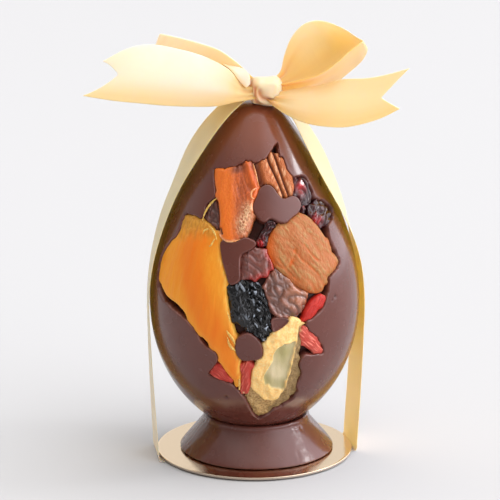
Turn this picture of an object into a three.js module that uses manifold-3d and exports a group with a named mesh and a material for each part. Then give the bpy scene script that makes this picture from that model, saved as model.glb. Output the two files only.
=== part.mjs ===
// Chocolate egg on a chocolate foot: dried fruit and nuts show in a broken-edged window,
// and a satin ribbon ties it to its round card and ends in a bow.
// Millimetres, +Z up, origin at the middle of the underside. The window faces -Y.
// Places on the egg are [azimuth, height]: azimuth in degrees from -Y, positive towards +X.
import * as THREE from 'three';
import { mergeVertices } from 'three/addons/utils/BufferGeometryUtils.js';
import { TessellateModifier } from 'three/addons/modifiers/TessellateModifier.js';
import Module from 'manifold-3d';

const wasm = await Module();
wasm.setup();

// Driving dimensions
const gap = 0.3; // room between pieces that touch
const ribbonWidth = 29;
const ribbonThick = 0.5;
const cardRadius = 50;
const cardThick = 1.2;
const cardBottom = ribbonThick + gap;
const cardTop = cardBottom + cardThick;
const footRadius = 39.3;
const footShift = 1; // the foot was set on a little to the right of the egg's axis
const collarRadius = 27;
const collarHeight = 20.5;
const eggBottom = 12.3;
const eggHeight = 176.3; // to the point that the blunt tip would run out to
const eggGirth = 50.9;
const eggTaper = 0.347; // how much fuller the egg is below than above
const eggShoulder = -0.19;
const tipStart = 174; // above here the tip is blunt
const tipRise = 9;
const windowDepth = 5.5;
const knot = { x: 5.4, y: -6.5, z: 187.1, halfWidth: 8.3, halfDepth: 9.2, halfHeight: 7.6 };
// [height, azimuth] places that each side of the ribbon passes, from the card up to the knot
const straps = {
  left: [[0, -81], [95, -86], [141, -82], [157, -77], [172, -62], [184, -45]],
  right: [[0, 101], [95, 100], [125, 88], [142, 81], [157, 77], [184, 72]],
};

const degree = Math.PI / 180;
const group = new THREE.Group();

// Colours and finishes
const finish = {
  chocolate: { color: 0x5a342c, roughness: 0.35 },
  mango: { color: 0xe08a1e, roughness: 0.55 },
  papaya: { color: 0xd8631f, roughness: 0.45 },
  nut: { color: 0xb8622c, roughness: 0.6 },
  apricot: { color: 0xd98a42, roughness: 0.6 },
  prune: { color: 0x17181c, roughness: 0.25 },
  fig: { color: 0x5f3a2a, roughness: 0.35 },
  appleSlice: { color: 0xd9b068, roughness: 0.5 },
  goji: { color: 0xc8322b, roughness: 0.45 },
  berry: { color: 0x6e1e22, roughness: 0.3 },
  satin: { color: 0xf6e0a4, roughness: 0.4 },
  goldCard: { color: 0xe6cda6, roughness: 0.2, metalness: 0.6 },
};

function addMesh(name, solid, look) {
  const mesh = new THREE.Mesh(geometryOf(solid), new THREE.MeshStandardMaterial(finish[look]));
  mesh.name = name;
  group.add(mesh);
}

// Geometry to solid and back

function solidOf(geometry) {
  geometry.deleteAttribute('normal');
  geometry.deleteAttribute('uv');
  const merged = mergeVertices(geometry, 1e-4);
  return new wasm.Manifold(new wasm.Mesh({
    numProp: 3,
    vertProperties: new Float32Array(merged.attributes.position.array),
    triVerts: new Uint32Array(merged.index.array),
  }));
}

function geometryOf(solid) {
  const mesh = solid.getMesh();
  const geometry = new THREE.BufferGeometry();
  geometry.setAttribute('position', new THREE.BufferAttribute(mesh.vertProperties, 3));
  geometry.setIndex(new THREE.BufferAttribute(mesh.triVerts, 1));
  geometry.computeVertexNormals();
  return geometry;
}

function moveVertices(geometry, place) {
  const position = geometry.attributes.position;
  for (let i = 0; i < position.count; i += 1) {
    const point = place(position.getX(i), position.getY(i), position.getZ(i), i);
    position.setXYZ(i, point.x, point.y, point.z);
  }
  return geometry;
}

// The egg's surface

function eggRadius(height) {
  const turn = 1 - 2 * (height - eggBottom) / eggHeight;
  const fullness = 1 + eggTaper * turn + eggShoulder * turn * turn;
  return eggGirth * Math.sqrt(Math.max(0, 1 - turn * turn)) * fullness;
}

function bluntTip(height) {
  if (height < tipStart) return height;
  return tipStart + tipRise * (1 - Math.exp((tipStart - height) / tipRise));
}

function onEgg(azimuth, height, lift = 0) {
  const step = 0.01;
  const slope = (eggRadius(height + step) - eggRadius(height - step)) / (2 * step);
  const length = Math.hypot(1, slope);
  const radius = eggRadius(height) + lift / length;
  const angle = azimuth * degree;
  const up = height - lift * slope / length;
  return new THREE.Vector3(radius * Math.sin(angle), -radius * Math.cos(angle), up);
}

// The egg turned about its axis, swollen by `extra`
function eggSolid(extra = 0, around = 48, rows = 20) {
  const profile = [];
  for (let i = 0; i <= rows; i += 1) {
    const turn = Math.cos(Math.PI * i / rows);
    const height = eggBottom + eggHeight / 2 * (1 - turn);
    const radius = eggRadius(height) + extra * Math.sin(Math.PI * i / rows);
    profile.push(new THREE.Vector2(i % rows ? radius : 0, bluntTip(height) - extra * turn));
  }
  return solidOf(new THREE.LatheGeometry(profile, around).rotateX(Math.PI / 2));
}

// Outlines on the egg

// Moves each corner of a closed outline outwards by `distance` millimetres
function grown(outline, distance) {
  const scaleOf = (height) => eggRadius(height) * degree;
  const turning = Math.sign(THREE.ShapeUtils.area(outline.map(([x, y]) => ({ x, y }))));
  return outline.map(([azimuth, height], i) => {
    const before = outline[(i + outline.length - 1) % outline.length];
    const after = outline[(i + 1) % outline.length];
    const scale = scaleOf(height);
    const alongX = (after[0] - before[0]) * scale;
    const alongY = after[1] - before[1];
    const reach = distance * turning / Math.hypot(alongX, alongY);
    return [azimuth + alongY * reach / scale, height - alongX * reach];
  });
}

function smoothed(outline, pointsPerCorner) {
  const corners = outline.map(([x, y]) => new THREE.Vector3(x, y, 0));
  const curve = new THREE.CatmullRomCurve3(corners, true);
  return curve.getPoints(outline.length * pointsPerCorner).slice(0, -1).map((p) => [p.x, p.y]);
}

// A plate that follows the egg, from `bottom` to `top` millimetres above its surface
function slab(outline, bottom, top, facet = 17) {
  const shape = new THREE.Shape(outline.map(([x, y]) => new THREE.Vector2(x, y)));
  const flat = new THREE.ExtrudeGeometry(shape, { depth: 1, bevelEnabled: false });
  flat.deleteAttribute('normal');
  flat.deleteAttribute('uv');
  const fine = new TessellateModifier(facet, 8).modify(flat);
  return solidOf(moveVertices(fine, (x, y, z) => onEgg(x, y, bottom + (top - bottom) * z)));
}

// A rounded piece that fills an outline: `top` is its crown, `edge` how far its rim falls
function pebble({ outline, top = 0, edge = 2.5, relief = () => 0, around = 22, rings = 7 }) {
  const anticlockwise = THREE.ShapeUtils.area(outline.map(([x, y]) => ({ x, y }))) > 0;
  const ordered = anticlockwise ? outline : [...outline].reverse();
  const rim = new THREE.CatmullRomCurve3(ordered.map(([x, y]) => new THREE.Vector3(x, y, 0)), true);
  const middle = new THREE.Vector3();
  rim.getSpacedPoints(48).slice(1).forEach((point) => middle.addScaledVector(point, 1 / 48));
  const ball = new THREE.SphereGeometry(1, around, rings);
  const uv = ball.attributes.uv.clone();
  const deep = windowDepth + 3;
  return solidOf(moveVertices(ball, (x, y, z, i) => {
    const polar = (1 - uv.getY(i)) * Math.PI;
    const reach = Math.sin(polar) ** 0.55;
    const spot = middle.clone().lerp(rim.getPoint(((uv.getX(i) % 1) + 1) % 1), reach);
    if (polar > Math.PI / 2) return onEgg(spot.x, spot.y, -edge + (deep - edge) * Math.cos(polar));
    const fall = edge * (1 - Math.cos(polar) ** 0.7);
    return onEgg(spot.x, spot.y, top - fall + relief(spot.x, spot.y) * (1 - reach ** 4));
  }));
}

// The window's broken edge, clockwise from its upper left
const windowEdge = [
  [-40.5, 151], [-31, 152], [-20, 153.4], [-11.3, 155.8], [-4.6, 156.2], [0.2, 155.4],
  [6, 156.2], [12, 157.6], [20.1, 161], [28.8, 163.4], [27.4, 158.2], [30.9, 156.3],
  [31.4, 151.6], [35.5, 148.2], [42, 148.2], [49.9, 146.4], [51, 142], [51.5, 137.5],
  [60, 135], [68.8, 130], [63, 125.5], [55.2, 123.2], [53.4, 118.5], [56.4, 110.2],
  [57.8, 105.7], [53.8, 102.6], [46, 99.2], [44.6, 94.2], [41.8, 90], [39.6, 86],
  [32.4, 81.8], [28.4, 80], [30.8, 75.4], [36.6, 70.6], [41.6, 62.2], [33.6, 62.8],
  [28.6, 62.9], [26.4, 60.1], [26.6, 56.6], [28.6, 52.7], [27.2, 46.6], [28.6, 40.7],
  [23.3, 36], [15.5, 32.5], [4.1, 26.2], [-2.4, 31.1], [-7.2, 40.4], [-13.5, 47.3],
  [-22.3, 50.4], [-28.4, 52.5], [-22, 59.4], [-21.2, 63.7], [-24.4, 66.4], [-29, 68.6],
  [-33, 74], [-38.5, 79], [-44, 81.5], [-52, 84], [-60.5, 86.8], [-66.6, 91.5],
  [-69, 98], [-69.4, 105.4], [-64.8, 112.8], [-56.6, 120], [-55.2, 128.4], [-45, 129.4],
  [-37.4, 129.4], [-37.2, 135.4], [-31.6, 139], [-35, 145],
];

// Chocolate that ran between the fruit and stands level with the shell
const islands = {
  kidney: [
    [8.7, 145.4], [14.1, 144.6], [20.5, 139.3], [24.2, 138.9], [29.4, 139.7], [34, 138.5],
    [35.6, 135.9], [32.8, 132.5], [26.7, 130.3], [21.1, 128], [16.6, 128.3], [10.3, 130.2],
    [7, 128.8], [3.9, 129.4], [-1.4, 135.5], [1.5, 140.2], [3.9, 143.5],
  ],
  upper: [
    [-21.2, 119.2], [-12, 119.6], [-5.8, 121.8], [0.8, 119.2], [-2, 116.4], [-7.9, 113.6],
    [-8.4, 107.7], [-8.2, 102.6], [-10.3, 100.4], [-13.8, 99.8], [-16.6, 105.5], [-19.6, 112.2],
  ],
  lower: [
    [-9.8, 72.4], [-7.3, 75], [-3, 76.1], [1.9, 72.8], [4.2, 68.9], [4.4, 64.5],
    [2, 62.5], [-2.4, 61.9], [-7.6, 62.3], [-10.4, 66.6],
  ],
  rightOfPrune: [[9.2, 82.8], [16, 83.4], [18.2, 81.6], [10, 76.8], [9, 79.5]],
};

// Ridges that run along a line turned by `turn` degrees from upright
function ridges(turn, spacing, height, shift = 0) {
  const acrossX = Math.cos(turn * degree);
  const acrossY = Math.sin(turn * degree);
  return (azimuth, up) => {
    const across = azimuth * eggRadius(up) * degree * acrossX + up * acrossY;
    return height * Math.cos((across - shift) / spacing * 2 * Math.PI);
  };
}

// Fruit and nuts, the uppermost first: a later piece gives way to an earlier one
const fruit = [
  {
    name: 'apricot', look: 'apricot', edge: 3, relief: ridges(-35, 9, 0.35),
    outline: [
      [7.2, 118], [8.2, 121], [13, 126.3], [22.4, 129.4], [32.6, 132.2], [40, 130.2], [47.6, 124.4],
      [51.2, 119], [53.4, 112], [56.6, 105.6], [49.2, 101.8], [44, 97.4], [40.4, 93.4], [32.6, 93.8],
      [25.6, 97], [18.2, 102.6], [12, 107.4], [8, 113.7],
    ],
  },
  {
    name: 'papaya_slice', look: 'papaya', edge: 2.4, relief: ridges(8, 8, 0.5, 2), around: 26,
    outline: [
      [-40, 150.4], [-32.5, 151.6], [-20.6, 152.8], [-11, 155.6], [-3, 155.6], [1, 151], [3.9, 144.8],
      [0.2, 139], [-0.3, 131.9], [-2.2, 126.4], [-6.9, 121.6], [-12, 119.2], [-17.5, 118.7], [-21.8, 120.8],
      [-23.8, 125], [-25.6, 131.6], [-30.4, 139.4], [-36.8, 145.8],
    ],
  },
  {
    name: 'pecan_half', look: 'nut', edge: 2.6, relief: ridges(28, 5.4, 0.9, 1.2), around: 28, rings: 13,
    outline: [
      [-1, 154.6], [4.8, 155.4], [12, 157], [19.6, 160.2], [24.4, 159.6], [28.4, 157], [30.4, 151.6],
      [35.4, 144.6], [30.4, 139.8], [23, 138.8], [18, 141.6], [11.4, 145], [4, 145.6], [1.6, 149.7],
    ],
  },
  {
    name: 'mango_slice', look: 'mango', edge: 2.2, relief: ridges(12, 22, 0.5), around: 32,
    outline: [
      [-54.6, 127.4], [-45, 128.6], [-36, 128.2], [-29, 126], [-22.6, 120.8], [-19.6, 112.4], [-16, 104],
      [-15.1, 94], [-13.6, 86.4], [-11.2, 78], [-9.1, 70], [-8, 58], [-9.4, 46.3], [-14, 50.6],
      [-19.2, 57.6], [-22.6, 65], [-29, 71.6], [-37, 79.2], [-46.5, 85.6], [-57, 88.4], [-65.8, 93.8],
      [-68.6, 100], [-68.6, 106.2], [-62.6, 113.6], [-56, 120],
    ],
  },
  {
    name: 'apple_slice', look: 'appleSlice', edge: 2, relief: ridges(15, 30, 0.4), around: 26,
    outline: [
      [19.6, 83.8], [26.8, 80], [25, 75], [26.4, 68.9], [25.4, 62.4], [28.4, 53], [27.6, 42.6],
      [22, 36.8], [13, 32], [4.4, 26.6], [-1.2, 31.8], [-5.4, 39.2], [-3, 47], [-1.4, 57],
      [2.6, 63], [4.6, 70.6], [9.2, 76.2], [14.6, 79.4],
    ],
  },
  {
    name: 'prune', look: 'prune', edge: 3, relief: ridges(20, 4.6, 0.35), around: 24, rings: 9,
    outline: [
      [-15, 95.4], [-14, 99.6], [-8.3, 102.2], [-1, 102], [3.6, 99.6], [6.8, 92.6], [8.8, 84],
      [8.4, 78.6], [6.4, 74], [3.6, 72.2], [-1, 76], [-6.6, 78.2], [-11.6, 82.4], [-14.4, 89],
    ],
  },
  {
    name: 'fig', look: 'fig', top: -0.4, edge: 2.8, relief: ridges(-50, 5, 0.35), rings: 9,
    outline: [
      [5, 97.8], [7.2, 104], [11.8, 107.4], [18.6, 103.8], [25.3, 98], [31, 94], [29.4, 89], [26, 84.6],
      [19.8, 83.9], [13, 82.6], [9.3, 88.2], [6, 93.4],
    ],
  },
  {
    name: 'red_fruit_chunk', look: 'berry', top: -0.4, edge: 2.4,
    outline: [
      [-8.4, 114], [-4.2, 114.8], [3.4, 117.4], [7.4, 115.2], [11, 108.8], [8, 105.2], [1, 102.6],
      [-6, 102.6], [-7.8, 107.7],
    ],
  },
  {
    name: 'raisin', look: 'prune', top: -1.2, edge: 2, around: 14, rings: 5,
    outline: [
      [-36.2, 128.7], [-35, 135.4], [-30, 138.2], [-25, 131.6], [-23, 125.6], [-29, 125.6],
    ],
  },
];

const gojiOutlines = [
  [[25.4, 81.8], [28, 87], [33.6, 91.4], [39.8, 93], [41.2, 89.4], [36, 84.4], [30, 81.8]],
  [[24.2, 75.6], [27.2, 77], [33.8, 72.8], [37.4, 67], [40.8, 62.4], [32, 63.6], [26.2, 69]],
  [[-6.4, 58.8], [-4, 60.8], [-1.5, 60], [-1.9, 53.2], [-5.4, 42.9], [-8.6, 44.6], [-7.8, 52.6]],
  [[-28, 52.7], [-23.4, 57], [-18, 57.6], [-12.6, 49.4], [-18.4, 48], [-25.6, 50.4]],
];

const berryOutlines = [
  [[32.2, 142.4], [35.6, 147], [43, 147.8], [50, 146.2], [51, 140.6], [48.4, 136.2], [40.6, 134.4], [34.6, 137.6]],
  [[42, 133.6], [49, 135.6], [56, 134.8], [63, 132], [67.8, 127.8], [61, 125], [54, 123.6], [47.4, 124.4], [42.6, 128.6]],
  [[36, 136], [40.4, 134], [38, 131.9], [34.2, 132.8]],
  [[1.6, 120.8], [5.4, 126], [9.6, 129.2], [13.8, 128.9], [11.4, 124.8], [7.1, 120.2], [4.4, 117.6], [2, 118]],
];

function looseBerries() {
  const gojis = gojiOutlines.map((outline, i) => ({
    name: `goji_berry_${i + 1}`, look: 'goji', top: -0.3, edge: 2, around: 14, rings: 7, outline,
  }));
  const cranberries = berryOutlines.map((outline, i) => ({
    name: `cranberry_${i + 1}`, look: 'berry', top: -0.7, edge: 2, around: 14, rings: 5, outline,
  }));
  return [...gojis, ...cranberries];
}

function addEggAndFruit() {
  const islandSlabs = Object.values(islands).map((outline) => (
    (margin) => slab(grown(smoothed(outline, 1), margin), -windowDepth - 2, 4)
  ));
  let opening = slab(windowEdge, -windowDepth, 4);
  for (const makeSlab of islandSlabs) opening = opening.subtract(makeSlab(0));
  addMesh('egg', eggSolid().subtract(opening), 'chocolate');

  let room = slab(grown(windowEdge, -gap), 3 * gap - windowDepth, 4);
  for (const makeSlab of islandSlabs) room = room.subtract(makeSlab(gap));
  for (const piece of [...fruit, ...looseBerries()]) {
    addMesh(piece.name, pebble(piece).intersect(room), piece.look);
    room = room.subtract(slab(grown(smoothed(piece.outline, 2), gap), -windowDepth - 2, 5));
  }
}

// Foot and card

function addFoot() {
  const profile = [
    [0, cardTop + gap], [footRadius - 0.5, cardTop + gap], [footRadius, cardTop + 3 * gap],
    [collarRadius + 1.4, 16.4], [collarRadius + 0.2, 18.3],
    [collarRadius, collarHeight - 0.7], [collarRadius - 0.8, collarHeight], [0, collarHeight],
  ].map(([radius, height]) => new THREE.Vector2(radius, height));
  const cone = new THREE.LatheGeometry(profile, 44).rotateX(Math.PI / 2).translate(footShift, 0, 0);
  addMesh('foot', solidOf(cone).subtract(eggSolid(gap)), 'chocolate');
}

function addCard() {
  const disc = new THREE.CylinderGeometry(cardRadius, cardRadius, cardThick, 60);
  disc.rotateX(Math.PI / 2).translate(0, 0, (cardBottom + cardTop) / 2);
  addMesh('card', solidOf(disc), 'goldCard');
}

// Ribbon

// A strip of ribbon: place(across, along) gives its middle surface, both from 0 to 1
function strip(place, { across, along, thick = ribbonThick }) {
  const box = new THREE.BoxGeometry(1, 1, 1, across, 1, along);
  const step = 1e-3;
  return solidOf(moveVertices(box, (x, y, z) => {
    const side = x + 0.5;
    const far = z + 0.5;
    const point = place(side, far);
    const sideways = place(side + step, far).sub(place(side - step, far));
    const onwards = place(side, far + step).sub(place(side, far - step));
    return point.addScaledVector(onwards.cross(sideways).normalize(), y * thick);
  }));
}

function rail(points) {
  return new THREE.CatmullRomCurve3(points.map((point) => new THREE.Vector3(...point)));
}

// Point on a rail, carried on in a straight line past both ends
function along(curve, distance) {
  const inside = THREE.MathUtils.clamp(distance, 0, 1);
  return curve.getPoint(inside).addScaledVector(curve.getTangent(inside), (distance - inside) * 60);
}

// Ribbon between two edges, bowed towards -Y by `bow` along its middle
function betweenRails(first, second, bow = 0, notch = 0) {
  const edges = [rail(first), rail(second)];
  return (side, far) => {
    const cut = far * (1 - notch * (1 - Math.abs(2 * side - 1)));
    const point = along(edges[0], cut).lerp(along(edges[1], cut), side);
    point.y -= bow * Math.sin(Math.PI * side) * Math.sin(Math.PI * THREE.MathUtils.clamp(cut, 0, 1));
    return point;
  };
}

const bowRails = {
  ribbon_tail_left: {
    first: [[3, -10, 189], [-6, -12, 190.5], [-12.3, -16, 198.4], [-24.2, -21, 205.7],
      [-33.7, -25, 209.3], [-49.1, -31, 212.8], [-59.3, -36, 211.9], [-72, -41, 206]],
    second: [[3, -11, 184], [-8, -17, 183], [-18.1, -23, 181.8], [-30.9, -29, 182.4],
      [-42.4, -34, 183.6], [-55.2, -39, 185.6], [-67.2, -43, 187.5], [-81.4, -47, 190.5]],
    bow: 3, notch: 0.13, across: 4, along: 14,
  },
  ribbon_tail_right: {
    first: [[8, -11, 186], [14, -12, 187.4], [22.2, -13, 189.2], [34.8, -14, 191.3], [42, -15, 193.7],
      [54.2, -17, 194.7], [64.4, -19, 196.9], [75.1, -20, 200.1]],
    second: [[6, -12, 182.5], [10, -18, 180.4], [15, -22, 177.6], [23.1, -25, 174.3], [32.3, -28, 172.8],
      [44.6, -29, 172.6], [60, -28, 176.4], [70, -27, 181.2]],
    bow: 2, notch: 0.16, across: 4, along: 14,
  },
  ribbon_loop_left: {
    first: [[3, -5, 190], [-3.9, -7, 196.5], [-8.2, -9, 200.9], [-16.9, -12, 207.6], [-24.6, -12, 210.5],
      [-34.2, -11, 213.1], [-42.5, -9, 214.7], [-46, -4, 214.7], [-45.4, 1, 213.4], [-42.1, 5, 211.6],
      [-34.9, 9, 208.7], [-25.1, 11, 205.4], [-17.1, 11, 202.2], [-5.6, 4, 193.7], [3, 0, 188.5]],
    second: [[3, -4, 186], [-7.1, -5, 184.8], [-14.4, -7, 182.6], [-24.2, -8, 182], [-34, -8, 182.6],
      [-46.3, -7, 185], [-53.3, -4.5, 186.6], [-56.7, 0, 187], [-54.8, 5, 186.4], [-47, 8, 184.6],
      [-34.6, 10, 182.4], [-24.7, 10, 181.8], [-14.6, 8, 182.2], [-7.1, 3, 184.6], [3, -0.5, 186]],
    across: 2, along: 26,
  },
  ribbon_loop_right: {
    first: [[7, -4, 190], [13, 2, 195.5], [14.5, 4, 202.4], [18.2, 4, 212.1], [24.1, 4, 218.5],
      [31.5, 3, 220.4], [42.2, 0, 217.4], [49.5, -6, 213.4], [52.4, -12, 212], [50.5, -17, 211.4],
      [45.8, -20, 208.4], [40, -20, 203.1], [32.2, -19, 197.4], [21, -15, 193.4], [9, -9, 190]],
    second: [[7, 0, 189], [15, 7, 186.4], [24, 12, 186.4], [31, 14, 187.6], [38, 16, 191],
      [46.4, 18, 198.3], [52.3, 17, 203.9], [55.7, 15, 206.4], [56.6, 13, 204.7], [54.1, 11, 199.7],
      [47.6, 10, 193.8], [38.6, 8, 187.4], [28, 3, 184.4], [18, -3, 184], [9, -8, 185.5]],
    across: 3, along: 28,
  },
};

// Distance from the axis and height along one side of the ribbon, from the knot to under the card
const strapLine = [
  [3, 184], [11, 183.4], [19, 177.6], [28, 163.4], [38.2, 142], [46.6, 121], [51.9, 100],
  [53.8, 82], [53.5, 60], [52.3, 30], [cardRadius + 1, 6], [cardRadius + 0.8, 1.4],
  [cardRadius + 0.4, 0.55], [cardRadius - 0.4, 0.3], [cardRadius - 3, 0.3],
];

// Azimuth of a strap at one height
function azimuthAt(strap, height) {
  const above = Math.max(1, strap.findIndex(([up]) => up >= height));
  const [[low, start], [high, end]] = strap.slice(above - 1, above + 1);
  return start + (end - start) * (height - low) / (high - low);
}

// Unit vectors away from the axis and along the ribbon's width
function strapAxes(azimuth) {
  const angle = azimuth * degree;
  const outwards = new THREE.Vector3(Math.sin(angle), -Math.cos(angle), 0);
  return { outwards, sideways: new THREE.Vector3(0, 0, 1).cross(outwards) };
}

function strapPlace(strap) {
  const line = rail(strapLine.map(([radius, height]) => [radius, azimuthAt(strap, height), height]));
  return (side, far) => {
    const spot = along(line, far);
    const gathered = THREE.MathUtils.smoothstep(spot.z, 150, 184);
    const width = ribbonWidth * (1 - 0.55 * gathered);
    const { outwards, sideways } = strapAxes(spot.y);
    return new THREE.Vector3(0, 0, spot.z)
      .addScaledVector(outwards, spot.x)
      .addScaledVector(sideways, (side - 0.5) * width);
  };
}

function knotSolid(extra = 0) {
  const ball = new THREE.SphereGeometry(1, 20, 12);
  return solidOf(moveVertices(ball, (x, y, z) => {
    const waist = 1 - 0.12 * Math.cos(3 * Math.atan2(z, y) + 2 * x);
    return new THREE.Vector3(
      knot.x + (knot.halfWidth + extra) * Math.sign(x) * Math.abs(x) ** 0.8,
      knot.y - (knot.halfDepth * waist + extra) * z,
      knot.z + (knot.halfHeight * waist + extra) * y,
    );
  }));
}

function addRibbon() {
  const shell = eggSolid(gap);
  addMesh('ribbon_knot', knotSolid().subtract(shell), 'satin');
  const knotRoom = knotSolid(gap);
  for (const [name, bow] of Object.entries(bowRails)) {
    const place = betweenRails(bow.first, bow.second, bow.bow, bow.notch);
    addMesh(name, strip(place, bow).subtract(knotRoom), 'satin');
  }
  for (const [side, strap] of Object.entries(straps)) {
    const ribbon = strip(strapPlace(strap), { across: 1, along: 42 });
    addMesh(`ribbon_strap_${side}`, ribbon.subtract(knotRoom), 'satin');
  }
  addMesh('ribbon_under_card', strip(underPlace(), { across: 1, along: 2 }), 'satin');
}

// The run beneath the card, from the end of one strap to the end of the other
function underPlace() {
  const reach = cardRadius - 3 - gap;
  const ends = [straps.left, straps.right].map((strap) => strapAxes(azimuthAt(strap, 0)));
  return (side, far) => {
    const edges = ends.map(({ outwards, sideways }, i) => {
      const shift = (side - 0.5) * ribbonWidth * (i ? -1 : 1);
      return outwards.clone().multiplyScalar(reach).addScaledVector(sideways, shift);
    });
    return edges[0].lerp(edges[1], far).setZ(ribbonThick / 2);
  };
}

addEggAndFruit();
addFoot();
addCard();
addRibbon();

export default group;
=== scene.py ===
# Chocolate egg with dried fruit in a broken-edged window, tied to its gold card with a satin bow.
# Sizes are millimetres until a piece is finished, and the studio's are metres. A place on the egg is
# [azimuth, height], with the azimuth in degrees from -Y towards +X.
from math import cos, pi, radians, sin, tau

import bmesh
import bpy
import numpy as np
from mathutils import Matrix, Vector, noise


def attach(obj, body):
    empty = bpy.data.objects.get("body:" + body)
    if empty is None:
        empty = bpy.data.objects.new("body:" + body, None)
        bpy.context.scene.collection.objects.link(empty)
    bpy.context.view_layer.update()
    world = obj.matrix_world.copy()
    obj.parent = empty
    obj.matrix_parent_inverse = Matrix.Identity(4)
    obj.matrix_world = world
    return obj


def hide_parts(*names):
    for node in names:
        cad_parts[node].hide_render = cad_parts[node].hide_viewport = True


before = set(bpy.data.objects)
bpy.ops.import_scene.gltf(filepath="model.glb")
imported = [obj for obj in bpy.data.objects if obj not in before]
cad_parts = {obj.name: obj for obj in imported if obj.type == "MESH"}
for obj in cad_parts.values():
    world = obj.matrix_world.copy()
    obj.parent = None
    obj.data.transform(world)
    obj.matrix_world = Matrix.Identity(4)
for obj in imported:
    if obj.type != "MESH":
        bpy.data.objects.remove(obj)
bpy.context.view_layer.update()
mm = 0.001
print("frame loaded")


# The egg's surface

egg = {
    "bottom": 12.3, "height": 176.3, "girth": 50.9, "taper": 0.347, "shoulder": -0.19,
    "tipStart": 174, "tipRise": 9,
}


def eggRadius(height):
    turn = 1 - 2 * (height - egg["bottom"]) / egg["height"]
    fullness = 1 + egg["taper"] * turn + egg["shoulder"] * turn * turn
    return egg["girth"] * np.sqrt(np.maximum(0, 1 - turn * turn)) * fullness


def eggSlope(height):
    step = 0.01
    return (eggRadius(height + step) - eggRadius(height - step)) / (2 * step)


def bluntTip(height):
    over = np.maximum(0, height - egg["tipStart"])
    return np.where(over > 0, egg["tipStart"] + egg["tipRise"] * (1 - np.exp(-over / egg["tipRise"])), height)


def onEgg(azimuth, height, lift=0):
    slope = eggSlope(height)
    length = np.hypot(1, slope)
    radius = eggRadius(height) + lift / length
    angle = np.radians(azimuth)
    up = bluntTip(height - lift * slope / length)
    return np.column_stack([radius * np.sin(angle), -radius * np.cos(angle), up])


# Curves, distances and grain

def curveAt(points, places, closed=False):
    # A centripetal curve through the points; places run from 0 to 1
    points = np.array(points, float)
    spans = len(points) - (0 if closed else 1)
    position = np.clip(places, 0, 1) * spans
    start = np.minimum(position.astype(int), spans - 1)
    if closed:
        corners = [points[(start + k) % len(points)] for k in (-1, 0, 1, 2)]
    else:
        extended = np.vstack([2 * points[0] - points[1], points, 2 * points[-1] - points[-2]])
        corners = [extended[start + k] for k in range(4)]
    knots = [np.zeros(len(start))]
    for before, after in zip(corners, corners[1:]):
        knots.append(knots[-1] + np.maximum(np.linalg.norm(after - before, axis=1) ** 0.5, 1e-4))
    time = knots[1] + (knots[2] - knots[1]) * (position - start)

    def between(a, b, first, last):
        return a + (b - a) * ((time - knots[first]) / (knots[last] - knots[first]))[:, None]

    firsts = [between(corners[i], corners[i + 1], i, i + 1) for i in range(3)]
    seconds = [between(firsts[i], firsts[i + 1], i, i + 2) for i in range(2)]
    return between(seconds[0], seconds[1], 1, 2)


def loopOf(outline, perCorner=6):
    return curveAt(outline, np.linspace(0, 1, perCorner * len(outline), endpoint=False), True)


def nearestOn(line, azimuth, height, closed=True):
    # Distance in mm to an outline, positive inside it, and the nearest place on it
    across = eggRadius(height) * radians(1)
    up = np.hypot(1, eggSlope(height))
    best = np.full(len(azimuth), 1e9)
    nearAzimuth, nearHeight = azimuth.copy(), height.copy()
    inside = np.zeros(len(azimuth), bool)
    ends = np.roll(line, -1, axis=0) if closed else line[1:]
    for (a0, h0), (a1, h1) in zip(line, ends):
        runX, runY = (a1 - a0) * across, (h1 - h0) * up
        x, y = (azimuth - a0) * across, (height - h0) * up
        share = np.clip((x * runX + y * runY) / np.maximum(runX ** 2 + runY ** 2, 1e-9), 0, 1)
        distance = np.hypot(x - share * runX, y - share * runY)
        closer = distance < best
        best = np.where(closer, distance, best)
        nearAzimuth = np.where(closer, a0 + share * (a1 - a0), nearAzimuth)
        nearHeight = np.where(closer, h0 + share * (h1 - h0), nearHeight)
        if closed and h0 != h1:
            crosses = (h0 > height) != (h1 > height)
            inside ^= crosses & (azimuth < a0 + (height - h0) * (a1 - a0) / (h1 - h0))
    return np.where(inside, best, -best), nearAzimuth, nearHeight


def ramp(start, end, value):
    share = np.clip((value - start) / (end - start), 0, 1)
    return share * share * (3 - 2 * share)


def grain(x, y, across, along, seed=0, turn=0, detail=1):
    # Smooth noise, about -1 to 1, in cells of that size in mm; a positive turn leans them left
    c, s = cos(radians(turn)), sin(radians(turn))
    u, v = (x * c + y * s) / across, (y * c - x * s) / along
    return np.array([noise.fractal((a, b, seed), 0.8, 2, detail) for a, b in zip(u, v)])


def folds(x, y, across, along, seed=0, turn=0, swirl=0, detail=1):
    # Rounded wrinkles from 0 in their creases to about 1 on their backs
    if swirl:
        bend = grain(x, y, across * 4, across * 4, seed + 50)
        x, y = x + swirl * bend, y + swirl * grain(x, y, across * 4, across * 4, seed + 70)
    return np.minimum(1, np.abs(grain(x, y, across, along, seed, turn, detail)) * 2.2)


def glow(distance, width):
    # 1 where the distance is nothing, fading over the width
    return np.exp(-(distance / width) ** 2)


lineSteps = 24 # places that stand for a drawn line


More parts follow.
